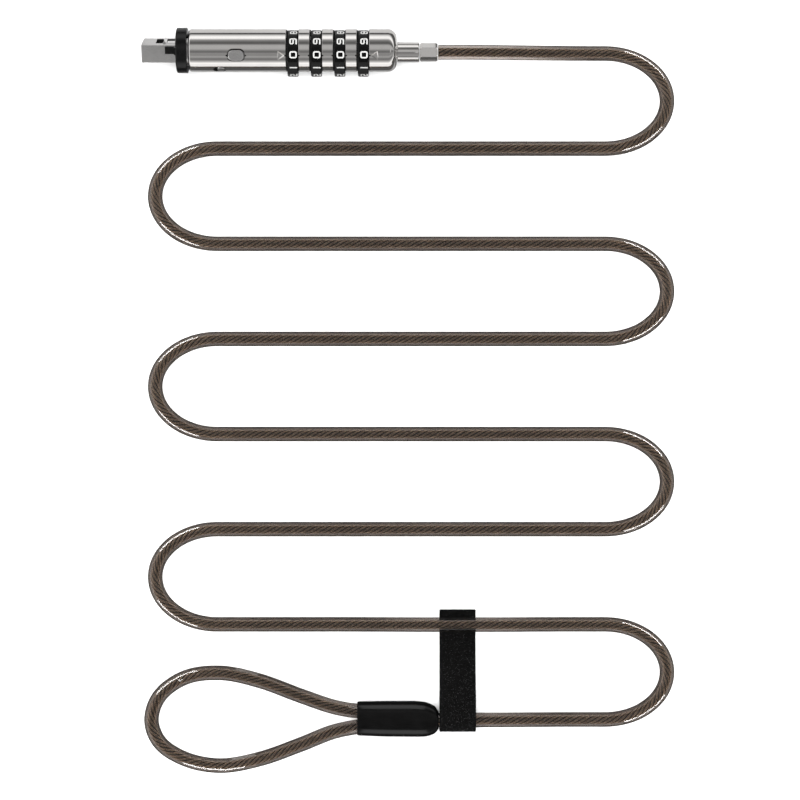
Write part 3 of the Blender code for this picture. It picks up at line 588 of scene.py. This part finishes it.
def dial(number):
    """A ten-sided dial with softened edges, and its painted digits."""
    middle, half, chamfer = DIAL_X[number], DIAL_HALF, DIAL_CHAMFER
    bm = bmesh.new()
    rings = []
    for x, radius in ((-half, DIAL_CORNER_R - chamfer), (-half + chamfer, DIAL_CORNER_R),
                      (half - chamfer, DIAL_CORNER_R), (half, DIAL_CORNER_R - chamfer)):
        ring = []
        for k in range(DIAL_FACETS):
            angle = 2 * math.pi * k / DIAL_FACETS
            ring.append(bm.verts.new((middle + x, radius * math.cos(angle), radius * math.sin(angle))))
        rings.append(ring)
    bm.faces.new(rings[0][::-1])
    bm.faces.new(rings[-1])
    for low, high in zip(rings, rings[1:]):
        for k in range(DIAL_FACETS):
            after = (k + 1) % DIAL_FACETS
            bm.faces.new((low[k], low[after], high[after], high[k]))
    bmesh.ops.bevel(bm, geom=bm.edges, offset=0.16, segments=3, profile=0.5, affect="EDGES")
    mesh = mesh_from(bm, "dial")
    lean = Matrix.Rotation(-DIAL_LEAN, 4, "X")
    mesh.transform(CORE @ lean)
    fix_normals(mesh)
    bore = turned([(middle - 4, DIAL_BORE_R), (middle + 4, DIAL_BORE_R)], 96, CORE)
    mesh = carve(mesh, [bore])
    node = f"dial_{number + 1}"
    body = node + "_wheel"
    mesh_object(node + "_fine", mesh, black, body, [node], sharp=25)

    flat = DIAL_CORNER_R * math.cos(math.pi / DIAL_FACETS)
    for value, strokes in DIGITS.items():
        # Digit 0 is under the arrows, and 9 comes next towards the latch side.
        facet = lean @ Matrix.Rotation(2 * math.pi * value / DIAL_FACETS, 4, "X")
        # Across the digit runs along +Y of the facet, and its top points at the nose.
        turn = Matrix(((0, -1, 0, middle + DIGIT_SHIFT), (1, 0, 0, 0), (0, 0, 1, flat), (0, 0, 0, 1)))
        parts = bmesh.new()
        for k, path in enumerate(strokes):
            rings, closed = stroke_rings(path, STROKE_HEIGHT + STROKE_STEP * k)
            part = mesh_of(rings, capped=not closed)
            parts.from_mesh(part)
            bpy.data.meshes.remove(part)
        mesh = mesh_from(parts, "digit")
        mesh.transform(CORE @ facet @ turn)
        fix_normals(mesh)
        mesh_object(f"{node}_digit_{value}", mesh, paint, body)


# ---------------------------------------------------------------- nose, bumper, swivel


def bumper():
    """The rubber ring behind the nose, with its tongue."""
    front, rear = BUMPER_X
    profile = [(front, BUMPER_BORE_R)] + arc((front + 0.6, BUMPER_R - 0.6), 0.6, 180, 90, 8)
    profile += arc((rear - 0.3, BUMPER_R - 0.3), 0.3, 90, 0, 4) + [(rear, BUMPER_BORE_R)]
    ring = turned(profile, 192, HEAD, hollow=True)
    side = [(-4.6, 5.98), (-4.6, 6.3), (-4.4, 6.45), (-0.9, 6.5), (-0.9, 8.1), (0.1, 8.1), (0.1, 6.75),
            (-0.8, 6.6), (-0.8, 5.98)]
    tongue = prism(side, 0.15, 3.0, HEAD, UPRIGHT)
    mesh_object("bumper_ring_fine", carve(ring, [tongue], "UNION"), rubber, "lock_head",
                ["bumper_ring"])


def nose():
    """The square nose with its channel and the hole for the latch's pin, and the shank behind it."""
    length, across, deep = NOSE
    rear = BUMPER_X[0] - 0.3
    block = rounded_bar(length, rear, across, deep)
    spigot = turned([(-2, 3.2), (rear, 3.2), (rear, SHANK_R), (13, SHANK_R)], 96, HEAD)
    for solid in (block, spigot):
        solid.materials.append(satin)
    mesh = carve(block, [spigot], "UNION")
    channel = prism(rectangle((-8.45, 14), (-0.6, 8)), -4.2, 2.7, HEAD)
    pin = prism(circle(LATCH_PIN_AT, 0.9, 24), -7, 7, HEAD)
    # The channel's and the pin hole's walls take the near-black material: painted shade inside them.
    for tool in (channel, pin):
        tool.materials.append(painted_shade)
    mesh = carve(mesh, [channel, pin])
    mesh_object("nose_block_fine", mesh, None, "lock_head", ["nose_block"], sharp=32)


def rounded_bar(length, rear, across, deep):
    """A bar along -X with softened edges, plain at the rear."""
    bm = bmesh.new()
    bmesh.ops.create_cube(bm, size=1)
    bmesh.ops.scale(bm, vec=(length + rear, across, deep), verts=bm.verts)
    bmesh.ops.translate(bm, vec=((rear - length) / 2, 0, 0), verts=bm.verts)
    front = [e for e in bm.edges if min(v.co.x for v in e.verts) < rear - 0.1]
    bmesh.ops.bevel(bm, geom=front, offset=0.35, segments=6, profile=0.5, affect="EDGES")
    mesh = mesh_from(bm, "bar")
    mesh.transform(HEAD)
    fix_normals(mesh)
    return mesh


def latch():
    """The latch's lever, with its pointed tooth."""
    arm = prism(rectangle((-6.0, 4.2), (1.4, 3.2)), -2.6, 0.8, HEAD)
    tooth = prism([(-6.1, 1.45), (-4.1, 1.45), (-4.1, 3.2), (-5.1, 4.5), (-6.1, 3.2)], -3.9, 2.4, HEAD)
    tail = prism([(3.9, 1.4), (10.9, 1.4), (12.0, 2.5), (12.0, 3.2), (3.9, 3.2)], -2.2, 2.2, HEAD)
    boss = prism(circle(LATCH_PIN_AT, 1.7, 32), -3.89, 2.39, HEAD)
    mesh = carve(arm, [tooth, tail, boss], "UNION")
    mesh_object("latch_arm_fine", mesh, bright, "latch", ["latch_arm"])


def swivel():
    """The turned collar with its stem, and the hexagonal ferrule behind it."""
    start, end = COLLAR_X
    profile = [(80.2, 2.6), (start, 2.6)] + arc((start + 0.25, COLLAR_R - 0.25), 0.25, 180, 90, 5)
    profile += arc((end - 0.45, COLLAR_R - 0.45), 0.45, 90, 0, 8)
    mesh = turned(profile, 160, SWIVEL)
    mesh_object("swivel_collar_fine", mesh, nickel, "cable_side", ["swivel_stem"])

    start, end = HEX_X
    length = end - start
    angles = [k * math.pi / 3 for k in range(6)]
    rings = [[(x, HEX_R * math.cos(a), HEX_R * math.sin(a)) for a in angles] for x in (start, end)]
    nut = mesh_of(rings)
    bm = bmesh.new()
    bm.from_mesh(nut)
    long_edges = [e for e in bm.edges if abs(e.verts[0].co.x - e.verts[1].co.x) > length / 2]
    bmesh.ops.bevel(bm, geom=long_edges, offset=0.12, segments=3, profile=0.5, affect="EDGES")
    bm.to_mesh(nut)
    bm.free()
    nut.transform(HEX)
    # The corners are turned off at both ends.
    cone = turned([(start - 0.01, HEX_R - 0.42), (start + 0.75, HEX_R + 0.1), (end - 0.75, HEX_R + 0.1),
                   (end + 0.01, HEX_R - 0.42)], 128, HEX)
    mesh_object("hex_ferrule_fine", carve(nut, [cone], "INTERSECT"), nickel, "cable_side",
                ["hex_ferrule"], sharp=20)


# ---------------------------------------------------------------- cable


def ease(start, end, x):
    """Rises smoothly from 0 at start to 1 at end."""
    t = min(max((x - start) / (end - start), 0), 1)
    return t * t * (3 - 2 * t)


def row_y(row):
    """Where a row lies across the table."""
    return ROW_1_Y - ROW_PITCH * (row - 1)


def row_z(row, x):
    """The cable's height: from the ferrule down to the table, and up over the strap."""
    lift = LIFTED_Z - CABLE_R
    after = 1 - ease(STRAP_X[1] + RAMP[0], STRAP_X[1] + RAMP[1], x)
    if row == 1:
        return CABLE_START.z + (CABLE_R - CABLE_START.z) * ease(*DESCENT_X, x)
    if row == ROW_COUNT - 1:
        return CABLE_R + lift * ease(STRAP_X[0] - RAMP[1], STRAP_X[0] - RAMP[0], x) * after
    if row == ROW_COUNT:
        return CABLE_R + lift * after
    return CABLE_R


# The cable's way through the sleeve, round the loop and back.
LOOP = [(51, -266.2, 4.2), (42, -267.5, 4.2), (29.2, -267.5, 4.2), (26.5, -267.9, 4.2), (17, -269.9, 4.0),
        (3.7, -275.2, 3.3), (-12.3, -280.9, 2.9), (-28, -283.6, 2.9), (-42, -281.0, 2.9),
        (-52.3, -274.3, 2.9), (-55.6, -265.4, 2.9), (-52.3, -255.7, 2.9), (-42, -248.4, 2.9),
        (-28, -246.6, 2.9), (-12.3, -249.8, 2.9), (3.7, -255.6, 3.3), (17, -260.0, 4.0), (26.5, -261.6, 4.2),
        (42, -261.6, 4.2)]


def spline(route, step):
    """Points every step or so on a centripetal Catmull-Rom curve through a route."""
    points = [Vector(p) for p in route]
    points = [points[0] * 2 - points[1]] + points + [points[-1] * 2 - points[-2]]
    out = []
    for a, b, c, d in zip(points, points[1:], points[2:], points[3:]):
        ta = 0.0
        tb = ta + (b - a).length ** 0.5
        tc = tb + (c - b).length ** 0.5
        td = tc + (d - c).length ** 0.5
        parts = max(1, round((c - b).length / step))
        for k in range(parts):
            t = tb + (tc - tb) * k / parts
            ab = a * ((tb - t) / (tb - ta)) + b * ((t - ta) / (tb - ta))
            bc = b * ((tc - t) / (tc - tb)) + c * ((t - tb) / (tc - tb))
            cd = c * ((td - t) / (td - tc)) + d * ((t - tc) / (td - tc))
            abc = ab * ((tc - t) / (tc - ta)) + bc * ((t - ta) / (tc - ta))
            bcd = bc * ((td - t) / (td - tb)) + cd * ((t - tb) / (td - tb))
            out.append(abc * ((tc - t) / (tc - tb)) + bcd * ((t - tb) / (tc - tb)))
    return out + [points[-2]]


def cable_route():
    """The cable's centreline, in millimetres."""
    low, high = ROW_X
    points = []
    for row in range(1, ROW_COUNT + 1):
        first, last = (low, high) if row % 2 else (high, low)
        if row == 1:
            first = CABLE_START.x
        if row == ROW_COUNT:
            last = CABLE_LAST_X
        for x in np.linspace(first, last, int(abs(last - first) / ROUTE_STEP)):
            y = row_y(row)
            if row == 1:
                y = CABLE_START.y + (ROW_1_Y - CABLE_START.y) * ease(first, high, x)
            points.append(Vector((x, y, row_z(row, x))))
        if row < ROW_COUNT:
            side = 1 if row % 2 else -1
            for k in range(1, BEND_PARTS):
                angle = math.pi * k / BEND_PARTS
                points.append(Vector((last + side * BEND_REACH * math.sin(angle),
                                      row_y(row) - ROW_PITCH / 2 * (1 - math.cos(angle)), CABLE_R)))
    return points + spline([points[-1]] + LOOP, ROUTE_STEP)[1:]


def even(points, step):
    """A path's points, spaced evenly, and its length."""
    points = np.array(points, float)
    along = np.concatenate([[0], np.cumsum(np.linalg.norm(np.diff(points, axis=0), axis=1))])
    at = np.linspace(0, along[-1], int(round(along[-1] / step)) + 1)
    return np.stack([np.interp(at, along, points[:, k]) for k in range(3)], 1), along[-1]


def frames(path):
    """A side and an up vector at each point of a path that lies almost flat."""
    along = np.gradient(path, axis=0)
    along /= np.linalg.norm(along, axis=1)[:, None]
    side = np.cross((0.0, 0.0, 1.0), along)
    side /= np.linalg.norm(side, axis=1)[:, None]
    return side, np.cross(along, side)


def rings_round(path, axes, radius, angles):
    """Rings of points round a path with its side and up vectors; each point has its radius and angle."""
    side, up = (axis[:, None] for axis in axes)
    angles = np.broadcast_to(angles, (len(path), angles.shape[-1]))[..., None]
    return path[:, None] + np.reshape(radius, (1, -1, 1)) * (np.cos(angles) * side + np.sin(angles) * up)


def cable():
    """The clear jacket, and the stranded core inside it."""
    path, length = even(cable_route(), 1.25)
    axes = frames(path)
    angles = np.linspace(0, 2 * math.pi, 40, endpoint=False)
    tube = mesh_of(rings_round(path, axes, CABLE_R, angles) * MM)
    jacket = mesh_object("cable_jacket", tube, jacket_vinyl, "cable_side", ["cable"],
                         sharp=60)

    count = STRANDS * STRAND_POINTS
    phase = np.arange(count) * 2 * math.pi / count
    radius = CORE_R - GROOVE * (1 - np.abs(np.sin(phase * STRANDS / 2)) ** 0.6)
    inner = path.copy()  # ends just inside the jacket
    for end, beyond in ((0, 1), (-1, -2)):
        inner[end] += (path[beyond] - path[end]) * 0.05
    distance = np.arange(len(inner)) * length / (len(path) - 1)
    turn = phase[None] - distance[:, None] * 2 * math.pi / LAY
    rope = mesh_of(rings_round(inner, axes, radius, turn) * MM)
    for material in (strand_steel, groove_shade):
        rope.materials.append(material)
    # A strand's first two and last two faces lie in the grooves beside it; they take the near-black material
    # as painted shade.
    groove_shade_mask = np.zeros(len(rope.polygons), np.int32)
    place = np.arange((len(inner) - 1) * count) % STRAND_POINTS
    groove_shade_mask[:len(place)] = (place < 2) | (place > STRAND_POINTS - 3)
    rope.polygons.foreach_set("material_index", groove_shade_mask)
    core = mesh_object("cable_core", rope, None, "cable_side", sharp=40)
    return jacket, core, path


# Along the sleeve: x, the middles of its lower and upper sides in y, and their radius.
SLEEVE = [(26.5, -267.4, -261.75, 3.62), (26.62, -267.4, -261.75, 3.78), (26.9, -267.4, -261.75, 3.9),
          (28, -267.4, -261.8, 4.0), (32, -267.5, -261.78, 4.05),
          (38, -267.64, -261.76, 4.11), (43, -267.7, -261.75, 4.11), (49, -267.74, -261.74, 4.11),
          (52.8, -267.7, -262.06, 4.1), (54.9, -267.49, -262.47, 4.0), (56.6, -267.05, -263.1, 3.85),
          (57.7, -266.5, -263.7, 3.7), (58.5, -265.7, -264.8, 3.5), (58.9, -265.3, -265.1, 3.3)]
LEG_Y = (-267.5, -261.6)  # the loop's two legs in the sleeve


def stadium(lower, upper, radius):
    """The outline, in Y and Z, of two half circles joined by straight sides."""
    outline = []
    for middle, first in ((upper, -90), (lower, 90)):
        outline += [(middle + a, LIFTED_Z + b) for a, b in arc((0, 0), radius, first, first + 180, 24)]
    return outline


def across_x(sections):
    """A mesh through sections of (x, outline in Y and Z)."""
    return mesh_of([[(x, y, z) for y, z in outline] for x, outline in sections], place=Matrix.Scale(MM, 4))


def loop_sleeve():
    """The black sleeve, with its mouth, the room for the crimp, and the way out for the cable."""
    table = spline_rows(SLEEVE, 6)
    mesh = across_x([(x, stadium(lower, upper, radius)) for x, lower, upper, radius in table])
    mouth = stadium(LEG_Y[0] - 0.4, LEG_Y[1], 3.1)
    crimp_room = stadium(*LEG_Y, 3.5)
    way_out = [(x, circle((y, LIFTED_Z), 3.1, 48))
               for x, y in ((42, LEG_Y[0]), (51, -266.2), (60, row_y(ROW_COUNT)))]
    tools = [across_x([(25, mouth), (29.2, mouth)]), across_x([(29.1, crimp_room), (44, crimp_room)]),
             across_x(way_out)]
    return mesh_object("loop_sleeve_fine", carve(mesh, tools), sleeve_black, "cable_side",
                       ["loop_sleeve"], sharp=40)


def spline_rows(rows, parts):
    """Rows of numbers with smooth rows added between them."""
    rows = np.array(rows, float)
    slope = np.gradient(rows, axis=0)
    out = []
    for k in range(len(rows) - 1):
        for j in range(parts):
            t = j / parts
            out.append(rows[k] * (2 * t ** 3 - 3 * t ** 2 + 1) + slope[k] * (t ** 3 - 2 * t ** 2 + t)
                       + rows[k + 1] * (3 * t ** 2 - 2 * t ** 3) + slope[k + 1] * (t ** 3 - t ** 2))
    return out + [rows[-1]]


# ---------------------------------------------------------------- strap


def strap_route():
    """The strap's middle line in Y and Z, from its free end over the last row to its tail underneath."""
    level = STRAP_THICKNESS / 2
    middle = [(-221.5, 0.5), (-229, 0.5), (-237, 0.5), (-242, 0.9), (-246.5, 2.2), (-251, 4.2), (-255, 6.0),
              (-259, 7.2)]
    reach = CABLE_R + 0.3 + level
    for k in range(9):
        angle = math.radians(75 + 195 * k / 8)
        across = (reach + STRAP_SLACK) * math.cos(angle) - STRAP_SLACK
        middle.append((row_y(ROW_COUNT) + across, LIFTED_Z + reach * math.sin(angle)))
    return middle + [(-261.5, level), (-258, level), (-254, level)]


def strap():
    """A band of cloth with softened, slightly uneven edges, and the fibres that stand up from it."""
    route, _ = even(spline([(0, y, z) for y, z in strap_route()], 0.5), 0.35)
    along = np.gradient(route, axis=0)
    along /= np.linalg.norm(along, axis=1)[:, None]
    up = np.stack([np.zeros(len(route)), -along[:, 2], along[:, 1]], 1)
    width = STRAP_X[1] - STRAP_X[0]
    section = rounded(width - 0.06, STRAP_THICKNESS - 0.1, 0.3, steps=3)
    across = []
    for (a, b), (c, d) in zip(section, section[1:] + section[:1]):
        parts = max(1, round(math.hypot(c - a, d - b) / 0.45))
        across += [(a + (c - a) * k / parts, b + (d - b) * k / parts) for k in range(parts)]
    middle_x = sum(STRAP_X) / 2
    chance = random.Random(4)
    rings = []
    for (_, y, z), lift in zip(route, up):
        sway = chance.uniform(-0.03, 0.03)
        rings.append([(middle_x + a + sway, y - lift[1] * b,
                       max(z - lift[2] * b + chance.uniform(-0.025, 0.025), 0.03)) for a, b in across])
    mesh = mesh_of(rings, place=Matrix.Scale(MM, 4))
    band = mesh_object("strap_band", mesh, cloth, "cable_side", ["strap"], sharp=80)
    fuzz = fibres(route, up, width, middle_x)
    return band, fuzz


def fibres(route, up, width, middle_x):
    """Short curled fibres over both faces of the strap, each a three-sided stalk of four rings."""
    chance = random.Random(11)
    points, faces = [], []
    for _ in range(FIBRES):
        k = chance.uniform(0, 1) ** 0.7 * (len(route) - 1.001)
        low, part = int(k), k % 1
        here = route[low] * (1 - part) + route[low + 1] * part
        lift = up[low]
        face = -1 if chance.random() < 0.72 else 1
        base = np.array([middle_x + chance.uniform(-0.5, 0.5) * (width - 0.5), here[1], here[2]])
        out = -face * lift
        base = base + out * (STRAP_THICKNESS / 2 - 0.12)
        turn = chance.uniform(0, 2 * math.pi)
        lean = np.array([math.cos(turn), math.sin(turn) * lift[2], -math.sin(turn) * lift[1]])
        reach, thick = chance.uniform(0.1, 0.3), chance.uniform(0.018, 0.03)
        first = len(points)
        for step in range(4):
            t = step / 3
            centre = base + out * (0.05 + 0.2 * math.sin(t * 2.6)) + lean * reach * t
            for j in range(3):
                angle = 2 * math.pi * j / 3
                offset = math.cos(angle) * np.cross(out, lean) + math.sin(angle) * out
                points.append(centre + thick * offset)
        for step in range(3):
            for j in range(3):
                a, b = first + step * 3 + j, first + step * 3 + (j + 1) % 3
                faces.append((a, b, b + 3, a + 3))
        faces += [(first + 2, first + 1, first), (first + 9, first + 10, first + 11)]
    points = [(x * MM, y * MM, max(z, 0.02) * MM) for x, y, z in points]
    mesh = bpy.data.meshes.new("fuzz")
    mesh.from_pydata(points, [], faces)
    fix_normals(mesh)
    return mesh_object("strap_fibres", mesh, fibre, "cable_side", sharp=70)


# ---------------------------------------------------------------- stage

# The camera looks straight down; it and the lamp are placed in metres.
CAMERA_AT = (0.04353, -0.13778, 0.945)
VIEW_WIDTH = 0.32
SENSOR = 36
LAMP_AT = (0.04, -0.14, 1.6)
LAMP_SIZE = 1.6
LAMP_POWER = 52

# The low cards beside the cable: half their width, their lower edge, and their reach in metres.
LOW_CARD_HALF = 17
LOW_CARD_Z = 12
LOW_CARD_REACH = 0.045
BEND_CARD_AWAY = 14
SLEEVE_MIDDLE = Vector((43, -264.6))

# Round the X axis, in degrees from straight up towards +Y, and how bright the studio is there.
STRIPS = [(-90, 1.3), (-82, 1.25), (-70, 0.5), (-60, 0.22), (-53, 0.22), (-45, 0.42), (-40, 0.40),
          (-34, 0.26), (-26, 0.34), (-20, 0.2), (-12, 0.18), (-3, 0.42), (2, 0.5), (18, 0.5), (28, 0.14),
          (34, 0.12), (45, 0.23), (52, 0.45), (60, 1.2), (70, 1.25), (84, 0.6), (90, 0.25)]


def world():
    """Soft studio light in long strips along X; the camera sees plain white."""
    owner, tree, output = graph("studio", "World")
    direction = add(tree, "SeparateXYZ", {"Vector": add(tree, "TexCoord").outputs["Generated"]})
    angle = add(tree, "Math", {0: direction.outputs["Y"], 1: direction.outputs["Z"]}, operation="ARCTAN2")
    place = add(tree, "MapRange", {"Value": angle.outputs[0], "From Min": -math.pi / 2,
                                   "From Max": math.pi / 2})
    strips = ramp(tree, place.outputs["Result"], [((a + 90) / 180, v) for a, v in STRIPS])
    # Towards the nose the studio is plain and bright.
    ends = add(tree, "MapRange", {"Value": direction.outputs["X"], "From Min": -0.35, "From Max": -0.85})
    light = add(tree, "Mix", {0: ends.outputs["Result"], 6: strips, 7: (1.1, 1.1, 1.1, 1)},
                data_type="RGBA")
    lit = add(tree, "Background", {"Color": light.outputs[2], "Strength": 1.0})
    seen = add(tree, "Background", {"Color": (1, 1, 1, 1), "Strength": 1.0})
    from_camera = add(tree, "LightPath").outputs["Is Camera Ray"]
    mix = add(tree, "MixShader", {0: from_camera, 1: lit.outputs[0], 2: seen.outputs[0]})
    tree.links.new(mix.outputs[0], output.inputs["Surface"])
    bpy.context.scene.world = owner


def sheet_of(name, corners, material):
    """A flat stage piece through four corners."""
    mesh = bpy.data.meshes.new(name)
    mesh.from_pydata([Vector(corner) * MM for corner in corners], [], [(0, 1, 2, 3)])
    mesh.materials.append(material)
    made = new_object(name, mesh)
    return made


def floor():
    """The pale table; in reflections it is dark, as if a black card lay under the lock."""
    material, tree, output = graph("table_finish")
    tint = ramp(tree, noise(tree, 300, 3.0), [(0.3, 0.93), (0.7, 0.95)])
    pale = add(tree, "BsdfPrincipled", {"Base Color": tint, "Roughness": 0.9, "Specular IOR Level": 0.1})
    dark = add(tree, "Emission", {"Color": (0.1, 0.1, 0.1, 1), "Strength": 1.0})
    path = add(tree, "LightPath").outputs
    mirrored = add(tree, "Math", {0: path["Is Glossy Ray"], 1: path["Is Reflection Ray"]},
                   operation="MULTIPLY")
    mix = add(tree, "MixShader", {0: mirrored.outputs[0], 1: pale.outputs[0], 2: dark.outputs[0]})
    tree.links.new(mix.outputs[0], output.inputs["Surface"])
    sheet_of("table", [(-4000, -4000, 0), (4000, -4000, 0), (4000, 4000, 0), (-4000, 4000, 0)], material)


def card(name, corners, brightness, reach=0.3):
    """A glowing card that only reflections see, from its front and within its reach, in metres."""
    material, tree, output = graph(name)
    glow = add(tree, "Emission", {"Color": (1, 1, 1, 1), "Strength": brightness})
    away = add(tree, "LightPath").outputs["Ray Length"]
    far = add(tree, "Math", {0: away, 1: reach}, operation="GREATER_THAN")
    unseen = add(tree, "Math", {0: add(tree, "NewGeometry").outputs["Backfacing"], 1: far.outputs[0]},
                 operation="MAXIMUM")
    clear = add(tree, "BsdfTransparent")
    mix = add(tree, "MixShader", {0: unseen.outputs[0], 1: glow.outputs[0], 2: clear.outputs[0]})
    tree.links.new(mix.outputs[0], output.inputs["Surface"])
    made = sheet_of(name, corners, material)
    made.visible_camera = made.visible_diffuse = made.visible_transmission = made.visible_shadow = False


def overhead_lamp():
    """A soft lamp over the middle of the scene, which lights only what is matt."""
    data = bpy.data.lights.new("overhead", "AREA")
    data.shape = "RECTANGLE"
    data.size = data.size_y = LAMP_SIZE
    data.energy = LAMP_POWER
    made = new_object("overhead", data)
    made.location = LAMP_AT
    made.rotation_euler = (Vector((*LAMP_AT[:2], 0)) - Vector(LAMP_AT)).to_track_quat("-Z", "Y").to_euler()
    made.visible_glossy = made.visible_transmission = False


def low_card(name, at, out, high, brightness):
    """An upright card at a point in plan, facing back along out."""
    across = Vector((-out.y, out.x)) * LOW_CARD_HALF
    a, b = at + across, at - across
    corners = [(*a, LOW_CARD_Z), (*b, LOW_CARD_Z), (*b, high), (*a, high)]
    card(name, corners, brightness, LOW_CARD_REACH)


def bend_cards():
    """Low cards outside the cable's bends, which give them their streaks of light."""
    bends = [(Vector((ROW_X[row % 2], row_y(row) - ROW_PITCH / 2)), BEND_REACH, azimuth)
             for row in range(1, ROW_COUNT) for azimuth in ((-49, 49) if row % 2 else (131, 229))]
    bends += [(Vector((-32, -265)), 20, 130), (Vector((-30, -265)), 18.6, 265)]
    for number, (middle, reach, azimuth) in enumerate(bends):
        out = Vector((math.cos(math.radians(azimuth)), math.sin(math.radians(azimuth))))
        low_card(f"bend_card_{number}", middle + out * (reach + CABLE_R + BEND_CARD_AWAY), out, 20.5, 22)


def sleeve_cards():
    """Tall cards on both sides of the sleeve."""
    for side in (1, -1):
        low_card(f"sleeve_card_{side}", SLEEVE_MIDDLE + Vector((0, side * 30)), Vector((0, side)), 60, 2.6)


def head_cards():
    """Long cards beside and under the head, and one that hangs over the ferrule."""
    ends = (-62, 58)
    card("front_card", [(x, -25, z) for x, z in rectangle(ends, (9, 16))][::-1], 1.1)
    card("near_card", [(x, y, 0.4) for x, y in rectangle(ends, (-15, -7))], 0.4)
    card("back_card", [(x, y, 0.4) for x, y in rectangle(ends, (4, 76))], 0.72)
    card("ferrule_card", [(x, y, 37) for x, y in rectangle((51, 58.7), (-8.5, 0.5))][::-1], 0.53, 0.04)


def stage():
    """The studio, the table, the cards and the lamp."""
    world()
    floor()
    head_cards()
    overhead_lamp()
    bend_cards()
    sleeve_cards()


def camera():
    """A long lens that looks straight down."""
    data = bpy.data.cameras.new("camera")
    data.sensor_width = SENSOR
    data.lens = SENSOR * CAMERA_AT[2] / VIEW_WIDTH
    data.clip_start = 0.01
    made = new_object("camera", data)
    made.location = CAMERA_AT
    bpy.context.scene.camera = made


# ---------------------------------------------------------------- build

camera()
stage()
bpy.context.scene.view_settings.view_transform = "Standard"

jacket, core, path = cable()
barrel()
gap_shades()
button()
reset_screw()
for number in range(4):
    dial(number)
bumper()
nose()
latch()
swivel()
sleeve = loop_sleeve()
band, fuzz = strap()

FINISHES = {steel: ("latch_pin", "latch_spring", "nose_pin", "core_tube", "core_plug", "click_spring",
                    "spindle_spring", "button_spring", "swivel_clip"),
            brass: ("spindle", "push_rod", "code_ring_1", "code_ring_2", "code_ring_3", "code_ring_4"),
            zinc: ("inner_frame", "loop_crimp")}
for finish, names in FINISHES.items():
    for name in names:
        nodes[name].material_slots[0].material = finish
